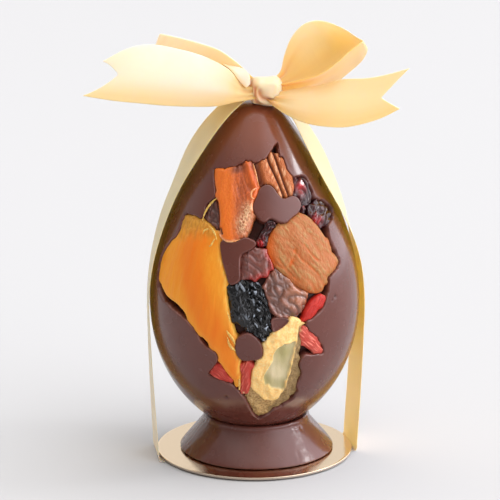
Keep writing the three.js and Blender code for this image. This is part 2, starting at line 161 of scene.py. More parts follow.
class Spots:
    # Places on a piece's skin, with how many mm they lie inside its outline; x is their azimuth in mm
    def __init__(self, azimuth, height, inside):
        self.azimuth, self.height, self.inside = azimuth, height, inside
        self.x = azimuth * radians(1) * eggRadius(height)

    def grain(self, *cells, **settings):
        return grain(self.x, self.height, *cells, **settings)

    def folds(self, *cells, **settings):
        return folds(self.x, self.height, *cells, **settings)

    def nearestOn(self, line):
        return nearestOn(curveAt(line, np.linspace(0, 1, lineSteps)), self.azimuth, self.height, False)

    def away(self, line):
        # Distance in mm from a line
        return -self.nearestOn(line)[0]

    def along(self, line, width):
        # 1 on a line, fading over the width
        return glow(self.away(line), width)

    def rightOf(self, line):
        # How far in mm a place lies to the right of a line that runs up and down
        return (self.azimuth - self.nearestOn(line)[1]) * radians(1) * eggRadius(self.height)

    def within(self, outline):
        # Distance in mm to another piece's outline, positive inside it
        return nearestOn(loopOf(outline), self.azimuth, self.height)[0]

    def nearSpot(self, spot):
        return nearSpot(np.column_stack([self.azimuth, self.height]), spot)


# Finishing a piece

def addObject(bm, name, material):
    bmesh.ops.scale(bm, vec=(mm, mm, mm), verts=bm.verts)
    mesh = bpy.data.meshes.new(name)
    bm.to_mesh(mesh)
    bm.free()
    mesh.materials.append(material)
    item = bpy.data.objects.new(name, mesh)
    bpy.context.scene.collection.objects.link(item)
    return item


def addPiece(bm, name, material, slotName, node):
    piece = addObject(bm, name, material)
    piece.data.shade_smooth()
    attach(piece, "root")
    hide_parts(node)
    return piece


def rgb(red, green, blue):
    # A linear colour from 0-255 display values
    values = [c / 255 for c in (red, green, blue)]
    return [c / 12.92 if c <= 0.04045 else ((c + 0.055) / 1.055) ** 2.4 for c in values] + [1]


class Finish:
    # A material around one Principled shader
    def __init__(self, name, colour, roughness, **sockets):
        self.material = bpy.data.materials.new(name)
        self.material.use_nodes = True
        self.tree = self.material.node_tree
        self.shader = self.tree.nodes["Principled BSDF"]
        self.place = None
        self.set("Base Color", colour)
        self.set("Roughness", roughness)
        for socket, value in sockets.items():
            self.set(socket.replace("_", " "), value)

    def put(self, node, socket, value):
        # A value is another node's output, to be linked, or a constant
        if isinstance(value, bpy.types.NodeSocket):
            self.tree.links.new(value, node.inputs[socket])
        else:
            node.inputs[socket].default_value = value

    def set(self, socket, value):
        self.put(self.shader, socket, value)

    def node(self, kind, inputs=(), **settings):
        node = self.tree.nodes.new("ShaderNode" + kind)
        for name, value in settings.items():
            setattr(node, name, value)
        for socket, value in dict(inputs).items():
            self.put(node, socket, value)
        return node

    def coordinates(self):
        if self.place is None:
            self.place = self.node("TexCoord").outputs["Object"]
        return self.place

    def speckle(self, size, detail, stretch=None, turn=0):
        # Noise with features of that size in mm; stretch lengthens them along Z, leaning by turn
        place = self.coordinates()
        if stretch:
            place = self.node("Mapping", {
                "Vector": place, "Scale": (1, 1, 1 / stretch), "Rotation": (0, radians(turn), 0),
            }).outputs["Vector"]
        node = self.node("TexNoise", {"Vector": place, "Scale": 1 / (size * mm), "Detail": detail})
        return node.outputs["Fac"]

    def spread(self, value, low, high, start=0, end=1):
        # Maps low-high to start-end, clamped
        node = self.node("MapRange", {
            "Value": value, "From Min": low, "From Max": high, "To Min": start, "To Max": end,
        })
        return node.outputs["Result"]

    def mix(self, share, first, second):
        node = self.node("Mix", data_type="RGBA")
        self.put(node, 0, share)
        self.put(node, 6, first)
        self.put(node, 7, second)
        return node.outputs[2]

    def sums(self, first, second, operation="ADD"):
        node = self.node("Math", operation=operation)
        self.put(node, 0, first)
        self.put(node, 1, second)
        return node.outputs[0]

    def tints(self):
        # The four masks painted on a piece
        attribute = self.node("Attribute", attribute_name="tint")
        parts = self.node("SeparateColor", {"Color": attribute.outputs["Color"]})
        return [parts.outputs[i] for i in range(3)] + [attribute.outputs["Alpha"]]

    def paint(self, colour, *coats):
        # Lays coats over a colour; each is its mask, its greatest share and its own colour
        for mask, share, coat in coats:
            if share < 1:
                mask = self.sums(mask, share, "MULTIPLY")
            colour = self.mix(mask, colour, coat)
        self.set("Base Color", colour)

    def bump(self, height, depth):
        # depth is how far the pattern stands out, in mm
        node = self.node("Bump", {"Height": height, "Strength": 1, "Distance": depth * mm})
        self.set("Normal", node.outputs["Normal"])


# Chocolate

def chocolateFinish():
    look = Finish("tempered chocolate", rgb(96, 50, 41), 0.26, Specular_IOR_Level=0.44,
                  Coat_Weight=0.15, Coat_Roughness=0.08, Subsurface_Weight=0.04, Subsurface_Scale=0.002)
    deep, lip, crown = look.tints()[:3]
    cloud = look.spread(look.speckle(26, 2), 0.35, 0.65)
    # Painted light: the top is painted lighter and warmer for the light falling there, the broken lips get a
    # painted highlight, partly lighter chipped chocolate, and the recesses and pits are painted darker as
    # shade
    look.paint(
        look.mix(cloud, rgb(93, 48, 39), rgb(101, 54, 45)),
        (crown, 0.8, rgb(130, 67, 40)),
        (lip, 0.6, rgb(132, 84, 74)),
        (deep, 1, rgb(54, 26, 21)),
    )
    look.set("Roughness", look.spread(look.speckle(9, 4), 0.3, 0.7, 0.2, 0.3))
    look.set("Specular IOR Level", look.spread(deep, 0.2, 1, 0.44, 0.12))
    look.set("Coat Weight", look.spread(deep, 0.2, 1, 0.15, 0))
    fine = look.spread(look.speckle(1.1, 4), 0.35, 0.75)
    look.bump(look.sums(look.speckle(14, 2), look.sums(fine, 0.05, "MULTIPLY")), 0.25)
    return look.material


windowEdge = [
    [-40.5, 151], [-31, 152], [-20, 153.4], [-11.3, 155.8], [-4.6, 156.2], [0.2, 155.4],
    [6, 156.2], [12, 157.6], [20.1, 161], [28.8, 163.4], [27.4, 158.2], [30.9, 156.3],
    [31.4, 151.6], [35.5, 148.2], [42, 148.2], [49.9, 146.4], [51, 142], [51.5, 137.5],
    [60, 135], [68.8, 130], [63, 125.5], [55.2, 123.2], [53.4, 118.5], [56.4, 110.2],
    [57.8, 105.7], [53.8, 102.6], [46, 99.2], [44.6, 94.2], [41.8, 90], [39.6, 86],
    [32.4, 81.8], [28.4, 80], [30.8, 75.4], [36.6, 70.6], [41.6, 62.2], [33.6, 62.8],
    [28.6, 62.9], [26.4, 60.1], [26.6, 56.6], [28.6, 52.7], [27.2, 46.6], [28.6, 40.7],
    [23.3, 36], [15.5, 32.5], [4.1, 26.2], [-2.4, 31.1], [-7.2, 40.4], [-13.5, 47.3],
    [-22.3, 50.4], [-28.4, 52.5], [-22, 59.4], [-21.2, 63.7], [-24.4, 66.4], [-29, 68.6],
    [-33, 74], [-38.5, 79], [-44, 81.5], [-52, 84], [-60.5, 86.8], [-66.6, 91.5],
    [-69, 98], [-69.4, 105.4], [-64.8, 112.8], [-56.6, 120], [-55.2, 128.4], [-45, 129.4],
    [-37.4, 129.4], [-37.2, 135.4], [-31.6, 139], [-35, 145],
]
islands = {
    "kidney": [
        [8.7, 145.4], [14.1, 144.6], [20.5, 139.3], [24.2, 138.9], [29.4, 139.7], [34, 138.5],
        [35.6, 135.9], [32.8, 132.5], [26.7, 130.3], [21.1, 128], [16.6, 128.3], [10.3, 130.2],
        [7, 128.8], [3.9, 129.4], [-1.4, 135.5], [1.5, 140.2], [3.9, 143.5],
    ],
    "upper": [
        [-21.2, 119.2], [-12, 119.6], [-5.8, 121.8], [0.8, 119.2], [-2, 116.4], [-7.9, 113.6],
        [-8.4, 107.7], [-8.2, 102.6], [-10.3, 100.4], [-13.8, 99.8], [-16.6, 105.5], [-19.6, 112.2],
    ],
    "lower": [
        [-9.8, 72.4], [-7.3, 75], [-3, 76.1], [1.9, 72.8], [4.2, 68.9], [4.4, 64.5],
        [2, 62.5], [-2.4, 61.9], [-7.6, 62.3], [-10.4, 66.6],
    ],
    "rightOfPrune": [[9.2, 82.8], [16, 83.4], [18.2, 81.6], [10, 76.8], [9, 79.5]],
}
shell = {
    # its grid is finer up to that azimuth and between those turns, which are degrees from the bottom
    "columns": 300, "fineColumns": [0.12, 0.88], "fineAzimuth": 75,
    "rows": 285, "fineRows": [0.05, 0.93], "fineTurns": [27, 141],
    "cell": 0.6, "finerWithin": 0.8, # mm from an edge
    "lip": 0.5, "wall": 0.9, "depth": 4.4, "floorGrain": 0.7, "ripple": 0.6,
    "windowFrom": 22, "windowTo": 168, # heights that the window lies between
    "thickLip": [4.5, 67.5, 5], "thicker": 0.9, # the lower island's right side
    "sunken": 0.9, # how low the island at the right of the prune lies
    # each pit is sunk and painted darker, as shade inside it
    "pits": [
        [68.6, 144.6, 0.8], [67, 143.4, 0.8], [65.2, 142.2, 0.7], [48.4, 90, 0.7], [-19, 40.5, 0.7],
        [46, 88.6, 0.4],
    ],
    "crown": [146, 174], # heights between which the chocolate is painted lighter and warmer, standing in for light on the top
    "pitDepth": 0.7, "acrossPerDegree": 0.8, # mm in a degree, for the grain
}


def brokenEdge(loop, ripple, seed):
    # Nibbles at an outline, as chocolate breaks round fruit
    x, y = loop[:, 0] * shell["acrossPerDegree"], loop[:, 1]
    shift = np.column_stack([grain(x, y, 2.2, 2.2, seed), grain(x, y, 2.2, 2.2, seed + 9)])
    return loop + ripple * shift


windowLoop = brokenEdge(loopOf(windowEdge, 8), shell["ripple"], 3)
islandLoops = {name: loopOf(outline, 8) for name, outline in islands.items()}


def openness(azimuth, height):
    # Distance into the open part of the window, negative in the chocolate, and the nearest edge
    best = nearestOn(windowLoop, azimuth, height)
    for loop in islandLoops.values():
        distance, nearAzimuth, nearHeight = nearestOn(loop, azimuth, height)
        closer = -distance < best[0]
        best = [np.where(closer, new, old) for new, old in zip((-distance, nearAzimuth, nearHeight), best)]
    return best


def nearSpot(spots, spot):
    # 1 at a place on the egg, fading over the spot's size in mm
    across = (spots[:, 0] - spot[0]) * radians(1) * eggRadius(spots[:, 1])
    return np.exp(-(across ** 2 + (spots[:, 1] - spot[1]) ** 2) / spot[2] ** 2)


def makeShell():
    bm = bmesh.new()
    bmesh.ops.create_grid(bm, x_segments=shell["columns"], y_segments=shell["rows"], size=0.5)
    wide = shell["fineAzimuth"]
    for vert in bm.verts:
        turn = np.interp(vert.co.y + 0.5, [0, *shell["fineRows"], 1], [0, *shell["fineTurns"], 180])
        azimuth = np.interp(vert.co.x + 0.5, [0, *shell["fineColumns"], 1], [-180, -wide, wide, 180])
        vert.co = (azimuth, egg["bottom"] + egg["height"] / 2 * (1 - cos(radians(turn))), 0)

    def measured():
        spots = np.array([vert.co[:2] for vert in bm.verts])
        near = (np.abs(spots[:, 0]) < shell["fineAzimuth"]) & (spots[:, 1] > shell["windowFrom"])
        near &= spots[:, 1] < shell["windowTo"]
        distance = np.full(len(spots), -9.0)
        azimuth, height = spots[:, 0].copy(), spots[:, 1].copy()
        distance[near], azimuth[near], height[near] = openness(spots[near, 0], spots[near, 1])
        return spots, distance, azimuth, height

    distance = measured()[1]
    bm.verts.index_update()
    nearEdge = set(np.flatnonzero(np.abs(distance) < shell["finerWithin"]))
    fine = [edge for edge in bm.edges if any(vert.index in nearEdge for vert in edge.verts)]
    bmesh.ops.subdivide_edges(bm, edges=fine, cuts=1, use_grid_fill=True)
    spots, distance, azimuth, height = measured()
    onEdge = np.abs(distance) < 0.25 * shell["cell"]
    spots[onEdge] = np.column_stack([azimuth, height])[onEdge]
    distance[onEdge] = 0

    lip = shell["lip"] + shell["thicker"] * nearSpot(spots, shell["thickLip"])
    rounded = np.clip((distance + lip) / lip, 0, 1)
    fall = lip * (1 - np.sqrt(1 - rounded ** 2))
    wall = ramp(0, shell["wall"], distance)
    x, y = spots[:, 0] * shell["acrossPerDegree"], spots[:, 1]
    inside = distance > 0
    floor = np.full(len(spots), shell["depth"])
    floor[inside] += shell["floorGrain"] * grain(x[inside], y[inside], 5, 5, 4)
    fall += wall * (floor - lip)
    low = ramp(-0.2, 0.9, nearestOn(islandLoops["rightOfPrune"], spots[:, 0], spots[:, 1])[0])
    pits = np.minimum(1, sum(nearSpot(spots, pit) for pit in shell["pits"]))
    fall += shell["sunken"] * low + shell["pitDepth"] * pits
    # Masks for painted light: shade in the recess and the pits, the top lighter and warmer for light falling
    # there, and a highlight along the broken lips, partly lighter chipped chocolate
    deep = np.maximum(ramp(0.1, 1, wall), 0.8 * pits)
    crown = ramp(*shell["crown"], spots[:, 1])
    edge = glow(distance + 0.1, 0.3) * ramp(0.3, 0.6, 0.5 + grain(x, y, 4, 4, 17))
    painted = bm.verts.layers.float_color.new("tint")
    points = onEgg(spots[:, 0], spots[:, 1], -fall)
    for vert, point, mask in zip(bm.verts, points, np.column_stack([deep, edge, crown, 0 * deep])):
        vert.co = point
        vert[painted] = mask
    bmesh.ops.remove_doubles(bm, verts=bm.verts, dist=0.002)
    bmesh.ops.recalc_face_normals(bm, faces=bm.faces)
    return bm


chocolate = chocolateFinish()
addPiece(makeShell(), "chocolateShell", chocolate, "chocolate", "egg")
print("shell made")

foot = {
    "shift": 1,
    "profile": [
        [0, 2.3], [38.4, 2.3], [39.1, 2.5], [39.3, 2.9], [39, 3.5], [34.2, 9.4], [28.6, 16.2],
        [27.5, 17.7], [27.2, 18.6], [27.1, 19.5], [26.6, 20.2], [26, 20.5], [25.3, 20.2],
    ],
    "inner": [20.5, 18, 16, 14.2, 13, 12.4], "roof": 11.9, # heights of the cup inside the egg's underside
    "steps": 240, "rows": 110, "smoothWithin": 20,
    "lump": 0.35, "scuff": 0.5, "nick": 0.8, "dent": 0.5, # greatest depths
}


def makeFoot():
    inner = [[float(eggRadius(np.array(height))) - 1, height - 0.5] for height in foot["inner"]]
    line = curveAt(foot["profile"] + inner, np.linspace(0, 1, foot["rows"]))
    bm = bmesh.new()
    verts = [bm.verts.new((radius, 0, height)) for radius, height in line]
    last = bm.verts.new((0, 0, foot["roof"]))
    edges = [bm.edges.new(pair) for pair in zip(verts, verts[1:] + [last])]
    bmesh.ops.spin(bm, geom=verts + [last] + edges, cent=(0, 0, 0), axis=(0, 0, 1), angle=tau,
                   steps=foot["steps"], use_merge=True)
    bmesh.ops.remove_doubles(bm, verts=bm.verts, dist=0.002)
    for vert in bm.verts:
        x, y, z = vert.co
        reach = np.hypot(x, y)
        if reach < foot["smoothWithin"]:
            vert.co.x += foot["shift"]
            continue
        # Broad unevenness, scuffs on the left, nicks in the lower rim and dents at the right of the front
        lump = noise.noise((x / 16, y / 16, z / 16)) * foot["lump"]
        scuff = max(0, -x / 40) * abs(noise.noise((x / 1.6, y / 1.6, z / 1.6))) * foot["scuff"]
        nick = max(0, noise.noise((x / 5, y / 5, 7)) - 0.3) * (foot["nick"] if z < 4 else 0)
        dent = glow(x - 21, 6) * abs(noise.noise((x / 2.2, y / 2.2, z / 3))) * (foot["dent"] if y < 0 else 0)
        out = lump - scuff - nick - dent
        vert.co.x += out * x / reach + foot["shift"]
        vert.co.y += out * y / reach
    bmesh.ops.recalc_face_normals(bm, faces=bm.faces)
    return bm


addPiece(makeFoot(), "chocolateFoot", chocolate, "chocolate", "foot")
print("foot made")

card = {"radius": 50, "bottom": 0.8, "top": 2.0, "edge": 0.18, "rim": 1.2, "segments": 180}


def goldFinish():
    look = Finish("gold foil card", rgb(240, 219, 190), 0.1, Metallic=1)
    look.set("Roughness", look.spread(look.speckle(3, 5), 0.3, 0.7, 0.1, 0.2))
    look.bump(look.speckle(9, 3), 0.03)
    return look.material


def paperFinish():
    look = Finish("card edge", rgb(214, 208, 202), 0.8)
    look.paint(look.mix(look.speckle(0.5, 3), rgb(150, 132, 116), rgb(190, 176, 162)))
    look.bump(look.speckle(0.3, 4), 0.1)
    return look.material


def makeCard():
    bm = bmesh.new()
    thick = card["top"] - card["bottom"]
    bmesh.ops.create_cone(bm, cap_ends=True, segments=card["segments"], radius1=card["radius"],
                          radius2=card["radius"], depth=thick)
    bmesh.ops.translate(bm, vec=(0, 0, (card["top"] + card["bottom"]) / 2), verts=bm.verts)
    rims = [edge for edge in bm.edges if abs(edge.verts[0].co.z - edge.verts[1].co.z) < 0.01]
    bmesh.ops.bevel(bm, geom=rims, offset=card["edge"], affect="EDGES", segments=2, profile=0.5, material=-1)
    caps = [face for face in bm.faces if len(face.verts) > 8]
    bmesh.ops.inset_individual(bm, faces=caps, thickness=card["rim"])
    for face in bm.faces:
        face.material_index = 0 if face.normal.z > 0.3 else 1
    return bm


cardPiece = addPiece(makeCard(), "goldCard", goldFinish(), "gold_card", "card")
cardPiece.data.materials.append(paperFinish())
print("card made")


# Fruit and nuts: each is a skin over its outline, closed behind

skin = {
    # an end that comes within reach of the window's edge or a piece over it runs on beneath, and sinks
    "edgeReach": 2, "edgeUnder": 0.9, "edgeDrop": 1.6, "edgeFade": [0.35, -0.6],
    "pieceReach": 2.2, "pieceUnder": 1.3, "pieceDrop": 2.6, "pieceFade": [-0.1, 1.6],
    "lowest": -4.2, "back": 4.8, "middle": [0, 0, 85], # its back lies that far in, towards the middle
    "margin": 0.6,
}


def skinGrid(loop, cell):
    # A grid of that cell over the outline, trimmed and drawn onto it
    low, high = loop.min(axis=0) - skin["margin"], loop.max(axis=0) + skin["margin"]
    perDegree = float(eggRadius(np.array((low[1] + high[1]) / 2))) * radians(1)
    counts = [int((high[0] - low[0]) * perDegree / cell), int((high[1] - low[1]) / cell)]
    bm = bmesh.new()
    bmesh.ops.create_grid(bm, x_segments=counts[0], y_segments=counts[1], size=0.5)
    spots = low + (np.array([vert.co[:2] for vert in bm.verts]) + 0.5) * (high - low)
    for vert, spot in zip(bm.verts, spots):
        vert.co = (spot[0], spot[1], 0)
    distance = nearestOn(loop, spots[:, 0], spots[:, 1])[0]
    bm.verts.index_update()
    away = [face for face in bm.faces if min(distance[vert.index] for vert in face.verts) < -0.4 * cell]
    bmesh.ops.delete(bm, geom=away, context="FACES")
    spots = np.array([vert.co[:2] for vert in bm.verts])
    distance, azimuth, height = nearestOn(loop, spots[:, 0], spots[:, 1])
    rim = np.array([vert.is_boundary for vert in bm.verts])
    spots[rim] = np.column_stack([azimuth, height])[rim]
    distance[rim] = 0
    return bm, spots[:, 0], spots[:, 1], np.maximum(0, distance)


def tucked(loop, measure, reach, under):
    # Draws the part of an outline that ends within `reach` of an edge on beneath it
    distance, nearAzimuth, nearHeight = measure(loop[:, 0], loop[:, 1])
    share = (ramp(reach, 0.6 * reach, distance) * (distance > 0))[:, None]
    near = np.column_stack([nearAzimuth, nearHeight])
    target = near + (near - loop) * (under / np.maximum(distance, 0.3))[:, None]
    return loop + (target - loop) * share


def outside(piece):
    def measure(azimuth, height):
        distance, nearAzimuth, nearHeight = nearestOn(loopOf(piece["outline"]), azimuth, height)
        return -distance, nearAzimuth, nearHeight
    return measure


def layPiece(name, spec, relief, look, slotName, above=()):
    loop = tucked(loopOf(spec["outline"]), openness, skin["edgeReach"], skin["edgeUnder"])
    for other in above:
        loop = tucked(loop, outside(other), skin["pieceReach"], skin["pieceUnder"])
    bm, azimuth, height, inside = skinGrid(loop, spec["cell"])
    at = Spots(azimuth, height, inside)
    roll = np.clip(1 - inside / spec["roll"], 0, 1)
    lift = spec["crown"] - spec["edge"] * (1 - np.sqrt(1 - roll ** 2))
    shape, tint = relief(at)
    lift = lift + shape * ramp(0, spec.get("soften", 1), inside)
    lift -= skin["edgeDrop"] * ramp(*skin["edgeFade"], openness(azimuth, height)[0])
    for other in above:
        lift -= skin["pieceDrop"] * ramp(*skin["pieceFade"], at.within(other["outline"]))
    painted = bm.verts.layers.float_color.new("tint")
    points = onEgg(azimuth, height, np.maximum(lift, skin["lowest"]))
    masks = np.clip(np.column_stack(list(tint) + [0 * inside] * (4 - len(tint))), 0, 1)
    for vert, point, mask in zip(bm.verts, points, masks):
        vert.co = point
        vert[painted] = mask
    rim = [edge for edge in bm.edges if edge.is_boundary]
    made = bmesh.ops.extrude_edge_only(bm, edges=rim)["geom"]
    middle = Vector(skin["middle"])
    for vert in (item for item in made if isinstance(item, bmesh.types.BMVert)):
        vert.co += (middle - vert.co).normalized() * (skin["back"] - spec["edge"])
    bmesh.ops.holes_fill(bm, edges=[edge for edge in bm.edges if edge.is_boundary], sides=0)
    bmesh.ops.triangulate(bm, faces=[face for face in bm.faces if len(face.verts) > 4])
    bmesh.ops.recalc_face_normals(bm, faces=bm.faces)
    addPiece(bm, name, look, slotName, spec["node"])


apricot = {
    "node": "apricot", "crown": 0.1, "edge": 2.8, "roll": 5, "cell": 0.34,
    "outline": [
        [7.2, 118], [8.2, 121], [13, 126.3], [22.4, 129.4], [32.6, 132.2], [40, 130.2], [47.6, 124.4],
        [51.2, 119], [53.4, 112], [56.6, 105.6], [49.2, 101.8], [44, 97.4], [40.4, 93.4], [32.6, 93.8],
        [25.6, 97], [18.2, 102.6], [12, 107.4], [8, 113.7],
    ],
    "crease": [[24.6, 115], [23, 111.6], [19.4, 107.4]],
    "folds": [
        [[13.6, 112], [16.4, 108.6], [20.5, 104.4], [24, 101.6]],
        [[24.6, 115], [27.6, 110.6], [33, 106.8], [38.5, 102]],
        [[31, 117], [35, 112], [40, 108.4]],
        [[9.6, 113], [12, 109.8], [15.6, 107.4]],
    ],
}
pecan = {
    "node": "pecan_half", "crown": -0.05, "edge": 2.4, "roll": 2.2, "cell": 0.3, "soften": 0.5,
    "outline": [
        [-1, 154.6], [4.8, 155.4], [12, 157], [19.6, 160.2], [24.4, 159.6], [28.4, 157], [30.4, 151.6],
        [35.4, 144.6], [30.4, 139.8], [23, 138.8], [18, 141.6], [11.4, 145], [4, 145.6], [1.6, 149.7],
    ],
    "grooves": [
        [[13.3, 158.3], [14.6, 155.4], [18.6, 149.5], [22.6, 140.9], [23, 138]],
        [[20.4, 161], [22.1, 157.7], [25.2, 147.4], [27.1, 140.7], [27.5, 138]],
    ],
    "flank": [[3.4, 158], [5.4, 153], [8, 147], [10, 143]],
}
papaya = {
    "node": "papaya_slice", "crown": -0.05, "edge": 2.2, "roll": 2.4, "cell": 0.36,
    "outline": [
        [-40, 150.4], [-32.5, 151.6], [-20.6, 152.8], [-11, 155.6], [-3, 155.6], [1, 151], [3.9, 144.8],
        [0.2, 139], [-0.3, 131.9], [-2.2, 126.4], [-6.9, 121.6], [-12, 119.2], [-17.5, 118.7], [-21.8, 120.8],
        [-23.8, 125], [-25.6, 131.6], [-30.4, 139.4], [-36.8, 145.8],
    ],
    "border": [[-21, 153.5], [-18.5, 147.5], [-15.8, 141.2], [-13.7, 131.7], [-12.5, 122]],
    "ridge": [[-31, 150], [-27, 141], [-21.6, 131], [-18.5, 122]],
    "strip": [[-8.4, 156.5], [-4.1, 150.9], [-1.0, 146.8], [0.7, 142.8], [-1.6, 139.4], [-2.2, 134]],
    "cream": [[-4.6, 135], [-5.4, 131.6], [-8, 128.4], [-7.6, 125.4]],
    "lip": [[-23.6, 124], [-21.4, 121.2], [-17, 119.2], [-11.5, 119.8]],
    "crack": [[-22.4, 125.2], [-20.8, 122.8]],
}
mango = {
    "node": "mango_slice", "crown": -0.25, "edge": 1.9, "roll": 2.4, "cell": 0.42,
    "outline": [
        [-54.6, 127.4], [-45, 128.6], [-36, 128.2], [-29, 126], [-22.6, 120.8], [-19.6, 112.4], [-16, 104],
        [-15.1, 94], [-13.6, 86.4], [-11.2, 78], [-9.1, 70], [-8, 58], [-9.4, 46.3], [-14, 50.6],
        [-19.2, 57.6], [-22.6, 65], [-29, 71.6], [-37, 79.2], [-46.5, 85.6], [-57, 88.4], [-65.8, 93.8],
        [-68.6, 100], [-68.6, 106.2], [-62.6, 113.6], [-56, 120],
    ],
    "stripe": [[-38, 119], [-39.8, 112], [-37, 102], [-32, 92], [-25, 80], [-19, 68], [-14, 57]],
    "rightEdge": [
        [-19.6, 111], [-16, 103], [-15.1, 94], [-13.6, 86.4], [-11.4, 79], [-9.4, 70], [-8.3, 58], [-9, 50],
    ],
}
apple = {
    "node": "apple_slice", "crown": -0.2, "edge": 1.8, "roll": 1.8, "cell": 0.34,
    "outline": [
        [19.6, 83.8], [26.8, 80], [25, 75], [26.4, 68.9], [25.4, 62.4], [28.4, 53], [27.6, 42.6],
        [22, 36.8], [13, 32], [4.4, 26.6], [-1.2, 31.8], [-5.4, 39.2], [-3, 47], [-1.4, 57],
        [2.6, 63], [4.6, 70.6], [9.2, 76.2], [14.6, 79.4],
    ],
    "core": [
        [22.6, 71], [18.6, 70.2], [14.6, 69.6], [10.9, 66], [9.6, 61.4], [6.8, 56.4], [5, 51],
        [6.4, 48.6], [10.5, 46.7], [14.4, 45.6], [17.6, 44.2], [18.9, 47], [19.8, 53], [20.8, 60],
        [21.8, 66],
    ],
    "side": [[23.6, 76], [22.8, 70], [21.4, 61], [20.2, 52.4], [18.4, 43.6], [14.6, 37.5], [10, 33]],
    "foot": [[-3, 47.5], [-0.3, 45], [3.6, 41.4], [8.6, 39], [13.4, 38.3], [19, 41.5]],
}
prune = {
    "node": "prune", "crown": 0, "edge": 2.8, "roll": 5, "cell": 0.28,
    "outline": [
        [-15, 95.4], [-14, 99.6], [-8.3, 102.2], [-1, 102], [3.6, 99.6], [6.8, 92.6], [8.8, 84],
        [8.4, 78.6], [6.4, 74], [3.6, 72.2], [-1, 76], [-6.6, 78.2], [-11.6, 82.4], [-14.4, 89],
    ],
}
fig = {
    "node": "fig", "crown": -0.45, "edge": 2.4, "roll": 3.6, "cell": 0.3,
    "outline": [
        [5, 97.8], [7.2, 104], [11.8, 107.4], [18.6, 103.8], [25.3, 98], [31, 94], [29.4, 89], [26, 84.6],
        [19.8, 83.9], [13, 82.6], [9.3, 88.2], [6, 93.4],
    ],
    "lip": [[7.4, 104], [5.6, 100], [5.6, 95], [8.6, 89], [12.6, 84.4], [17, 83.8]],
}
redChunk = {
    "node": "red_fruit_chunk", "crown": -0.4, "edge": 2.2, "roll": 2.4, "cell": 0.3,
    "outline": [
        [-8.4, 114], [-4.2, 114.8], [3.4, 117.4], [7.4, 115.2], [11, 108.8], [8, 105.2], [1, 102.6],
        [-6, 102.6], [-7.8, 107.7],
    ],
}
raisin = {
    "node": "raisin", "crown": -1.2, "edge": 2, "roll": 3, "cell": 0.3,
    "outline": [[-36.2, 128.7], [-35, 135.4], [-30, 138.2], [-25, 131.6], [-23, 125.6], [-29, 125.6]],
}


def mangoRelief(at):
    stripe = at.along(mango["stripe"], 7.5)
    frayed = at.along(mango["rightEdge"], 1.8)
    frosted = ramp(116, 126, at.height + 2.5 * at.grain(3, 4, 8) - 0.12 * at.azimuth - 5)
    fibres = at.grain(1.1, 18, 5, -18) * 0.07 + at.grain(3.4, 26, 6, -18) * 0.2
    shape = fibres + 0.5 * stripe - 0.5 * frosted + frosted * at.folds(2.2, 4, 9) * 0.6
    shape += frayed * (0.1 + 0.5 * at.grain(0.8, 3.2, 11, -10)) - 0.3
    shape += 0.35 * at.grain(14, 20, 12)
    tufts = frayed * ramp(-0.6, 0.2, at.grain(1.2, 4, 14, -12))
    pale = np.maximum(tufts, 0.6 * np.exp(-at.inside / 1.8))
    streak = ramp(-0.9, 0.9, at.grain(3.2, 34, 13, -16))
    return shape, [np.minimum(0.9, 1.3 * stripe) * (0.65 + 0.35 * streak), pale, frosted, streak]


def papayaRelief(at):
    lobe = ramp(2.6, -2.4, at.rightOf(papaya["border"]) + 0.8 * at.grain(2, 6, 27))
    strip = at.along(papaya["strip"], 2)
    cream = at.along(papaya["cream"], 3)
    threads = 1 - at.folds(0.8, 1.6, 24, 30, swirl=0.8)
    lip = at.along(papaya["lip"], 0.9)
    crack = at.along(papaya["crack"], 0.5)
    wrinkles = at.folds(2.4, 9, 22, 6, swirl=1.6)
    rough = (1 - lobe) * (1 - strip) * (1 - cream)
    ridge = at.along(papaya["ridge"], 3)
    shape = lobe * (0.3 + 0.5 * ridge + 0.3 * at.grain(3, 12, 23, -8)) + rough * (0.5 * wrinkles - 0.8)
    shape += strip * (0.6 + 0.25 * at.grain(1.2, 2.4, 26)) + cream * (threads * 1.1 - 0.5)
    shape += lip * 0.4 - crack * 1.6 + 0.04 * at.grain(0.9, 1.6, 28)
    film = ramp(150.6, 153.8, at.height + 1.2 * at.grain(2.5, 1.5, 25) - 0.1 * at.azimuth)
    film *= ramp(-26, -17, at.azimuth) * (1 - 0.8 * strip)
    pale = np.maximum(cream * (0.25 + 0.75 * ramp(0.3, 0.75, threads)), 0.55 * lip)
    # dark is the chocolate film over the top, with painted shade in the crack and in the creases of the
    # wrinkles
    dark = np.maximum(0.75 * film, np.maximum(crack, 0.35 * rough * (1 - wrinkles)))
    return shape, [lobe, strip, pale, dark]


def pecanRelief(at):
    deep = [at.away(groove) for groove in pecan["grooves"]]
    nearest = np.minimum(deep[0], deep[1])
    flank = ramp(1.2, -1.6, at.rightOf(pecan["flank"]))
    groove = glow(nearest, 0.55)
    rounding = np.minimum(1, nearest / 2.6) ** 0.6
    shape = rounding * 1.3 - 1.3 - 0.9 * groove - 1.4 * flank
    shape += 0.2 * at.grain(0.8, 6, 31, -24, 2) + 0.22 * at.grain(2, 5, 32, -24)
    # Painted light: a highlight on the ridges, shade in the grooves and round the rim, and shade on the left
    # flank
    ridge = glow(nearest - 1.7, 0.8) * ramp(0.3, 0.7, 0.5 + at.grain(1.2, 5, 33, -24))
    dark = np.maximum(groove, np.exp(-at.inside / 0.5))
    return shape, [dark, ridge, 0.5 + 0.5 * at.grain(3, 8, 34, -24), flank]


